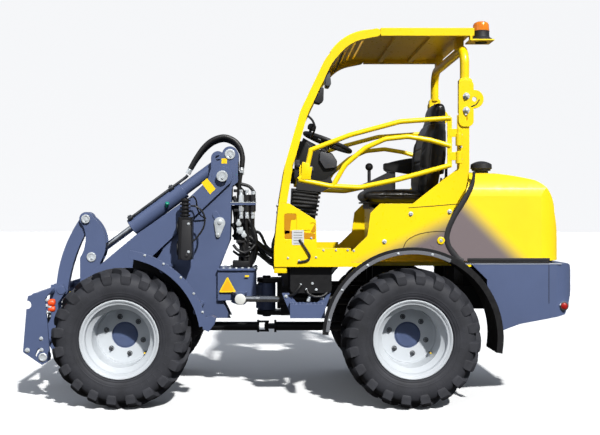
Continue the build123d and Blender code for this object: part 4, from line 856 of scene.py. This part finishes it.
def cowl_details():
    # ochre faces in the cowl's recesses: painted shade, a darker yellow where the recess insides lie in
    # shadow
    recess_shade = Form()
    y = SIDE - 2.9
    recess_shade.prism(((90, 1070), (24, 1070), (24, 1040), (52, 1036), (60, 962), (90, 956)), y, y + 1, 6)
    recess_shade.prism(((88, 978), (-84, 960), (-84, 928), (88, 930)), y, y + 1, 6)
    recess_shade.prism(((-84, 1018), (-84, 966), (-56, 966)), y, y + 1)
    recess_shade.mirrored().done("cowl_recess_painted_shade", RECESS_PAINTED_SHADE)
    plate = Form().prism(((47, 979), (-20, 979), (-20, 896), (47, 896)), SIDE + 0.2, SIDE + 1.4, 5)
    plate.done("cowl_plate", WHITE_FILM)
    lines = Form()
    for k in range(5):
        z = 968 - 15 * k
        lines.box((-11, SIDE + 1.3, z - 5), (38, SIDE + 1.6, z))
    lines.done("cowl_plate_bars", plastic("bar_grey", (0.24, 0.24, 0.24), 0.5, 0.05))
    strap = Form().pipe(((6, 474, 926), (-14, 476, 898), (-40, 478, 858), (-52, 478, 832),
        (-42, 478, 812), (-10, 476, 802), (14, 474, 798)), 6.5, 8)
    strap.done("cowl_strap", BLACK)
    bolts = Form()
    for x, z in ((70, 822), (8, 806), (-44, 808), (-88, 826), (-62, 934), (-266, 866), (-300, 862),
            (-130, 866), (-200, 866)):
        bolts.bolt((x, SIDE + 1, z), Y, 4.5)
    for z in (1118, 1076):
        bolts.bolt((122, 448, z), X, 9)
    bolts.mirrored().done("cab_bolts", ZINC)
    Form().box((76, 396, 736), (148, 462, 776)).mirrored().done("cab_mount", SHEET, bevel=3)
    mat = Form().box((-330, -405, 800.5), (60, 405, 806))
    for k in range(24):
        x = -322 + 16 * k
        mat.box((x, -400, 805.5), (x + 7, 400, 808.5))
    mat.done("floor_mat", plastic("mat_rubber", (0.02, 0.02, 0.022), 0.7, 0.3), slot="black_plastic")


def post_details():
    zinc = Form()
    for z in (1731, 1651):
        zinc.lathe((-930, 480, z), Y, ((-1, 19), (4, 19)), 30)
        zinc.hexagon((-930, 484, z), Y, 15, 12)
        zinc.lathe((-930, 494, z), Y, ((0, 8), (8, 8), (9, 6), (9, 0.5)), 16)
    for z in (1513, 1445, 1377):
        zinc.hexagon((-899, SIDE + 10, z), Y, 9, 8)
        zinc.lathe((-899, SIDE + 10, z), Y, ((0, 5), (22, 5), (23, 4)), 12)
    zinc.mirrored().done("post_bolts", ZINC)
    slot = Form().pipe(((-958, 480.6, 1672), (-985, 480.6, 1684), (-1004, 480.6, 1712)), 3.0, 8)
    slot.mirrored().done("fold_slot", ENAMEL)
    # work lamp and mirror beside the front arch
    lamp = Form().prism(((-96, 1796), (-136, 1790), (-134, 1716), (-112, 1698), (-78, 1706)), 330, 412,
        10)
    lamp.done("brow_lamp", BLACK, bevel=5)
    mirror = Form().prism(((-142, 1890), (-170, 1888), (-178, 1812), (-168, 1796), (-146, 1800)), 290,
        410, 8)
    mirror.done("cab_mirror", plastic("grey_plastic", (0.07, 0.075, 0.085), 0.4, 0.2),
        slot="black_plastic", bevel=5)
    rods = Form().pipe(((-152, 440, 1890), (-158, 410, 1890), (-160, 370, 1880)), 6)
    rods.pipe(((-104, 440, 1776), (-108, 420, 1774), (-108, 390, 1766)), 6)
    rods.pipe(((-42, 428, 1628), (-70, 424, 1600), (-84, 416, 1560), (-72, 380, 1522), (-68, 300, 1516)),
        6.5)
    rods.pipe(((-240, 420, 2040), (-246, 380, 2010), (-250, 250, 1998), (-250, -250, 1998),
        (-246, -380, 2010)), 5.0)
    rods.done("cab_rods", BLACK)


def door_details():
    for tag in SIDES:
        plate = Form(tag).prism(((-8, 1362), (-50, 1350), (-58, 1262), (-2, 1262)), 505, 511, 8)
        plate.done("door_latch_plate", SHEET, f"door_{tag}", bevel=1.5)
        catch = Form(tag).lathe((16, 498, 1340), Y, ((-20, 13), (16, 13), (18, 10), (18, 0.5)), 24)
        catch.box((4, 470, 1270), (34, 500, 1372))
        catch.done("door_catch", BLACK, bevel=3)
        knob = Form(tag)
        for z in (1385, 1485):
            knob.lathe((-885, 496, z), Z, ((-34, 17), (-32, 18.5), (32, 18.5), (34, 17)), 24)
        knob.done("door_knuckles", SHEET)


def fender_lips():
    grey = painted("grey_lip", (0.13, 0.135, 0.15), 0.35, 0.3)
    for tag in SIDES:
        lip = Form(tag)
        outer = arc_points(REAR_FENDER, 478, 4, 116, 60)
        inner = arc_points(REAR_FENDER, 458, 116, 4, 60)
        lip.prism(outer + inner, 597, 603)
        lip.done("rear_fender_lip", grey)
        bolts = Form(tag)
        for angle in (12, 34, 58, 80, 103):
            x, z = on_arc(REAR_FENDER, 468, angle)
            bolts.bolt((x, 603, z), Y, 5.5)
        bolts.done("rear_fender_bolts", ZINC)


def rear_details():
    for tag in SIDES:
        lamp = Form(tag).lathe((-1484, 455, 552), Y, ((-8, 26), (10, 26), (14, 22), (14, 19)), 32)
        lamp.done("side_lamp_ring", CHROME)
        glass = Form(tag).lathe((-1484, 455, 552), Y, ((8, 20), (15, 18), (20, 11), (21, 0.5)), 28)
        glass.done("side_lamp_lens", plastic("lamp_red", (0.32, 0.012, 0.01), 0.15, 0.02))
    bolts = Form()
    for y in (-300, 300):
        for z in (600, 700):
            bolts.bolt((-1562, y, z), -X, 12)
    bolts.done("counterweight_bolts", ZINC)


def beacon_details():
    x, y, low = -1031, 405, 2054
    base = Form().lathe((x, y, low), Z, ((0, 63), (8, 63), (12, 60), (19, 48), (30, 46.5), (50, 46),
        (52, 47.5), (55, 47)), 48)
    base.lathe((x, y, low - 12), Z, ((0, 34), (5, 34)), 32)
    base.done("beacon_base", BLACK)
    dome = Form()
    rings = []
    profile = ((50, 45.5), (56, 46.2), (62, 45.4), (92, 43.2), (102, 38), (108, 26), (110.5, 10),
        (110.8, 0.6))
    for a, r in profile:
        # the wall is ribbed: two points out, two points in
        ribbed = [r + (0.5 * (-1) ** (k // 2) if 60 < a < 95 else 0) for k in range(96)]
        turns = [2 * math.pi * k / 96 for k in range(96)]
        rings.append([(x + rib * math.cos(turn), y + rib * math.sin(turn), low + a)
            for rib, turn in zip(ribbed, turns)])
    dome.skin(rings)
    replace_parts(dome.done("beacon_dome", MATERIALS["beacon_lens"]), "beacon")


def cab_controls():
    """Steering wheel's hub and knob, the column with its cluster and boot, and the armrest."""
    tilt = math.radians(22)
    up = Vector((-math.sin(tilt), 0, math.cos(tilt)))
    centre = Vector((-183, 0, 1509))
    ahead = Vector((math.cos(tilt), 0, math.sin(tilt)))
    hub = Form().lathe(centre - up * 22, up, ((0, 24), (14, 40), (24, 44), (30, 40), (33, 26), (33, 0.5)),
        40)
    hub.done("steering_hub", BLACK, "steering_wheel")
    knob = Form().lathe(centre + ahead * 125 + Vector((0, 92, 0)), up,
        ((0, 9), (20, 9), (24, 22), (40, 27), (54, 24), (62, 12), (63, 0.5)), 32)
    knob.done("steering_knob", BLACK, "steering_wheel")
    body = Form().prism(((15, 1508), (-44, 1512), (-110, 1462), (-150, 1455), (-206, 1436), (-236, 1390),
        (-232, 1330), (-176, 1276), (-110, 1262), (-20, 1290), (20, 1380)), -96, 96, 20)
    body.done("column_housing", DEEP_BLACK, bevel=9, segments=3)
    face = Form().prism(((-40, 1516), (-104, 1468), (-108, 1474), (-44, 1522)), -74, 74, 2)
    face.done("instrument_face", SCREEN)
    pod = Form().prism(((-130, 1448), (-204, 1428), (-230, 1388), (-226, 1348), (-160, 1342),
        (-128, 1392)), 97, 118, 12)
    pod.lathe((-155, 100, 1462), Y, ((-14, 17), (12, 17), (14, 14), (14, 0.5)), 28)
    pod.lathe((-74, 97, 1340), Y, ((-4, 20), (6, 20), (8, 16), (8, 0.5)), 28)
    pod.done("column_switches", plastic("switch_grey", (0.05, 0.052, 0.058), 0.4, 0.2),
        slot="black_plastic", bevel=2.5)
    clamp = Form().lathe((-158, 97, 1456), Y, ((-4, 19), (6, 19), (8, 15), (5, 13), (5, 0.5)), 28)
    clamp.done("column_clamp", CHROME)
    fins = Form()
    for k in range(7):
        z = 1056 + 22 * k
        front, back = 46 - 2.4 * k, -108 - 2 * k
        fins.prism(((back, z), (front, z + 16), (front, z + 28), (back, z + 12)), -90, 90, 4)
    fins.done("column_boot", DEEP_BLACK, bevel=2.5)
    arm = Form().prism(((-566, 1395), (-566, 1356), (-602, 1346), (-770, 1318), (-770, 1400)), -306, -246,
        10)
    for k in range(4):
        arm.box((-700 + 34 * k, -307.5, 1352), (-684 + 34 * k, -305, 1386))
    arm.done("armrest_pad", DEEP_BLACK, bevel=8, segments=3)


def neck_details():
    """Plate between the fork's arms, and the hose bundle that comes down in front of the cab."""
    Form().box((84, -18, 486), (128, 18, 668)).done("neck_plate", ENAMEL)
    bundle = Form()
    for k, (x, y) in enumerate(((140, -42), (150, -18), (142, 6), (152, 28), (138, 50))):
        bundle.pipe(((96, y * 1.6, 968 - 9 * k), (128, y * 1.2, 950 - 14 * k), (x, y, 890 - 12 * k),
            (x - 4, y, 800), (x - 14, y * 0.9, 735), (84, y * 0.8, 690)), 13.5, 12, 5)
    bundle.box((92, -70, 690), (124, 70, 960))
    bundle.done("neck_hoses", HOSE)


def step_details():
    for tag in SIDES:
        grip = Form(tag)
        for k in range(9):
            for row in range(3):
                grip.lathe((-122 + 20.5 * k, 420 + 28 * row, 566), Z, ((-1, 7.5), (2.5, 6.5), (2.5, 4)),
                    12)
        grip.done("step_studs", BLUE)
        bolts = Form(tag)
        for x, z in ((-128, 592), (80, 600)):
            bolts.bolt((x, 408, z), Y, 7)
        bolts.done("step_bolts", ZINC)
        # pump, filters and pipes in front of the tank
        gear = Form(tag).lathe((-30, 300, 660), Y, ((0, 52), (70, 52), (76, 44), (112, 42), (116, 30),
            (116, 0.5)), 32)
        gear.lathe((60, 260, 640), Z, ((0, 36), (10, 40), (96, 40), (106, 30), (106, 0.5)), 28)
        gear.done("pump", ENAMEL, bevel=1.5)
        silver = Form(tag)
        for x, z in ((-36, 640), (-70, 676), (-4, 668), (-92, 640)):
            silver.lathe((x, 404, z), Y, ((-10, 12), (10, 12), (11, 8), (24, 8), (25, 0.5)), 6)
        fitting(silver, (-60, 424, 610), (0.4, 0, -0.9), 9, 40)
        silver.done("tank_fittings", ZINC)
        hose = Form(tag).pipe(((-36, 426, 640), (-50, 434, 616), (-90, 430, 600), (-140, 420, 610),
            (-176, 400, 650)), 8)
        hose.pipe(((-4, 426, 668), (14, 432, 640), (40, 420, 610), (90, 380, 600)), 8)
        hose.done("tank_hoses", HOSE)


hood_details()
side_details()
cowl_details()
post_details()
door_details()
fender_lips()
rear_details()
beacon_details()
cab_controls()
neck_details()
step_details()


# ---------------- seat
CLOTH_FRAMES = 12


def rounded_turn(power, count):
    """Points (x, y) of a rounded square from -1 to 1, each with whether its y and x are above 0."""
    points = []
    for k in range(count):
        turn = 2 * math.pi * k / count
        c, s = math.cos(turn), math.sin(turn)
        points.append((math.copysign(abs(c) ** (2 / power), c), math.copysign(abs(s) ** (2 / power), s),
            c > 0, s > 0))
    return points


def bulge(y, width):
    """Height from 0 to 1 of a side bolster, over y from -1 to 1."""
    return math.exp(-((abs(y) - 0.8) / width) ** 2)


def fill_with_air(obj, cap):
    """Blow the pad up as cloth, hold each point near its start, and keep the shape."""
    remesh = obj.modifiers.new("remesh", "REMESH")
    remesh.mode = "VOXEL"
    remesh.voxel_size = 0.006
    keep_mesh(obj)
    start = [v.co.copy() for v in obj.data.vertices]
    cloth = obj.modifiers.new("cloth", "CLOTH")
    cloth.settings.use_pressure = True
    cloth.settings.uniform_pressure_force = 4.0
    cloth.settings.effector_weights.gravity = 0.0
    cloth.settings.quality = 4
    cloth.point_cache.frame_start = 1
    cloth.point_cache.frame_end = CLOTH_FRAMES
    for number in range(1, CLOTH_FRAMES + 1):
        bpy.context.scene.frame_set(number)
    keep_mesh(obj)
    bpy.context.scene.frame_set(1)
    for vertex, old in zip(obj.data.vertices, start):
        move = vertex.co - old
        if move.length > cap:
            vertex.co = old + move.normalized() * cap


def keep_mesh(obj):
    """Replace the mesh by what its modifiers make of it."""
    graph = bpy.context.evaluated_depsgraph_get()
    graph.update()
    mesh = bpy.data.meshes.new_from_object(obj.evaluated_get(graph))
    material = obj.data.materials[0]
    obj.modifiers.clear()
    obj.data = mesh
    mesh.materials.clear()
    mesh.materials.append(material)
    for face in mesh.polygons:
        face.use_smooth = True


def channels(obj, seams, facing):
    """Press sewn channels into the skin that faces one way, where seams(x, y, z) is near 0 mm."""
    depth, width = 4.0, 6.0
    obj.data.update()
    for vertex, normal in zip(obj.data.vertices, [v.vector.copy() for v in obj.data.vertex_normals]):
        gap = min(abs(line) for line in seams(*(vertex.co * 1000)))
        if normal.dot(facing) >= 0.35 and gap < width * 2.5:
            vertex.co -= normal * (depth / 1000) * math.exp(-(gap / width) ** 2)


def pad(form, name, cap, seams, facing):
    """Padded piece of the seat; its points move by at most the cap, in metres."""
    obj = form.done(name, VINYL, slot="seat_cover", smooth=60)
    fill_with_air(obj, cap)
    sub = obj.modifiers.new("sub", "SUBSURF")
    sub.levels = sub.render_levels = 1
    keep_mesh(obj)
    channels(obj, seams, facing)
    return obj


def seat_cushion():
    cushion = Form()
    # X, underside, top and half width
    stations = ((-734, 1150, 1190, 196), (-730, 1140, 1202, 208), (-712, 1136, 1206, 220),
        (-660, 1135, 1206, 228), (-560, 1135, 1204, 229), (-470, 1136, 1206, 228),
        (-415, 1140, 1208, 222), (-392, 1150, 1202, 208), (-383, 1164, 1188, 190))
    rings = []
    for x, low, high, half in stations:
        middle, reach = (low + high) / 2, (high - low) / 2
        swell = 9 * min(1.0, max(0.0, (-430 - x) / 120))
        rings.append([(x, half * y, middle + reach * z + (swell * bulge(y, 0.15) if above else 0))
            for y, z, _, above in rounded_turn(4.2, 64)])
    cushion.skin(rings)

    def seams(x, y, z):
        return [abs(y) - 150] + [x + line for line in (480, 560, 640) if abs(y) < 150]

    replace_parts(pad(cushion, "seat_cushion_pad", 0.007, seams, Z), "seat_cushion")


def seat_back():
    back = Form()
    # Z, front, back, half width, and how far the bolsters stand forward
    stations = ((1146, -742, -806, 150, 0), (1154, -731, -814, 176, 0), (1176, -726, -822, 196, 4),
        (1240, -728, -834, 206, 10), (1330, -736, -850, 212, 16), (1420, -746, -862, 214, 20),
        (1500, -758, -871, 212, 20), (1570, -778, -880, 200, 14), (1608, -792, -884, 178, 6),
        (1626, -800, -886, 152, 0), (1650, -804, -887, 143, 0), (1700, -810, -888, 146, 0),
        (1722, -814, -887, 142, 0), (1736, -822, -882, 126, 0), (1742, -834, -872, 104, 0))
    rings = []
    for z, front, rear, half, bolster in stations:
        middle, reach = (front + rear) / 2, (front - rear) / 2
        rings.append([(middle + reach * x + (bolster * bulge(y, 0.16) if ahead else 0), half * y, z)
            for x, y, ahead, _ in rounded_turn(3.4, 56)])
    back.skin(rings)

    def seams(x, y, z):
        lines = [z - line for line in (1300, 1380, 1460, 1540) if abs(y) < 128]
        return lines + [z - 1612] + ([abs(y) - 128] if z < 1610 else [])

    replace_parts(pad(back, "seat_back_pad", 0.008, seams, X), "seat_back")


def seat_shell():
    shell = Form().prism(((-870, 1300), (-884, 1420), (-884, 1560), (-876, 1600), (-866, 1560),
        (-856, 1340)), -150, 150, 4)
    shell.box((-745, -196, 1132), (-395, 196, 1142))
    shell.done("seat_shell", DEEP_BLACK, bevel=3)
    piping = Form()
    for piping.side in (1, -1):
        piping.pipe(((-402, 196, 1172), (-420, 216, 1180), (-480, 227, 1182), (-560, 229, 1182),
            (-650, 228, 1182), (-706, 222, 1180), (-730, 206, 1176)), 3.2, 8)
        piping.pipe(((-756, 200, 1220), (-770, 214, 1330), (-780, 217, 1420), (-792, 214, 1500),
            (-806, 202, 1570), (-822, 170, 1618), (-836, 146, 1660), (-838, 148, 1700),
            (-840, 130, 1732)), 3.2, 8)
    piping.done("seat_piping", DEEP_BLACK, slot="seat_cover")
    rack = Form().prism(((-700, 1128), (-420, 1128), (-450, 1096), (-680, 1096)), -170, 170, 6)
    for rack.side in (1, -1):
        rack.pipe([(x, 236, z) for x, z in ((-730, 1150), (-800, 1180), (-860, 1260), (-868, 1340))], 9,
            6)
    rack.done("seat_frame", ENAMEL, bevel=3)


seat_cushion()
seat_back()
seat_shell()


# ---------------- stage, light and camera


def plain(name, **inputs):
    """Material with nothing but the inputs given."""
    material = bpy.data.materials.new(name)
    n = Nodes(material)
    n.fill(n.shader, inputs)
    return material


def only_seen(obj):
    """Stage that the camera sees, but that throws no light back on the machine."""
    obj.visible_diffuse = False
    obj.visible_glossy = False
    obj.visible_transmission = False


def floor():
    bm = bmesh.new()
    bmesh.ops.create_grid(bm, x_segments=1, y_segments=1, size=40.0)
    look = plain("pale_floor", Base_Color=(0.8, 0.81, 0.82, 1), Roughness=0.8)
    only_seen(mesh_object("floor", bm, look))


def backdrop():
    """White dome far round the stage."""
    bm = bmesh.new()
    bmesh.ops.create_uvsphere(bm, u_segments=48, v_segments=24, radius=39.0)
    look = plain("white_backdrop", Base_Color=(0, 0, 0, 1), Emission_Color=(0.97, 0.98, 1.0, 1),
        Emission_Strength=0.93)
    dome = mesh_object("backdrop", bm, look)
    dome.visible_shadow = False
    only_seen(dome)


def sun(name, way, strength, angle, colour=(1, 1, 1)):
    """Light from the direction that the vector points to."""
    data = bpy.data.lights.new(name, "SUN")
    data.energy = strength
    data.angle = math.radians(angle)
    data.color = colour
    lamp = link(bpy.data.objects.new(name, data))
    lamp.rotation_euler = (-Vector(way)).to_track_quat("-Z", "Y").to_euler()


def studio():
    world = bpy.data.worlds.new("studio")
    bpy.context.scene.world = world
    n = Nodes(world, "Background")
    level = n.math("MULTIPLY_ADD", n.split("Generated")["Z"], 0.5, 0.5)
    n.ramp(level, ((0.44, (0.07, 0.065, 0.06)), (0.6, (0.31, 0.335, 0.38))), "Color")
    sun("key", (-0.27, 0.69, 0.67), 5.6, 2.0, (1.0, 0.985, 0.96))
    sun("fill", (0.75, 0.55, 0.35), 0.35, 40.0)
    view = bpy.context.scene.view_settings
    view.view_transform = "Standard"
    view.look = "None"


def camera():
    """Left side of the machine from just over five metres, a little forward of its middle."""
    # focal length over the picture's width
    focal_share = 1.4145
    data = bpy.data.cameras.new("camera")
    data.sensor_width = 36.0
    data.lens = 36.0 * focal_share
    data.shift_x = 0.0467
    data.shift_y = -0.0125
    data.clip_end = 200.0
    cam = link(bpy.data.objects.new("camera", data))
    cam.location = (0.1595, 5.24, 1.092)
    cam.rotation_euler = (math.radians(90), 0, math.radians(180))
    bpy.context.scene.camera = cam


floor()
backdrop()
studio()
camera()
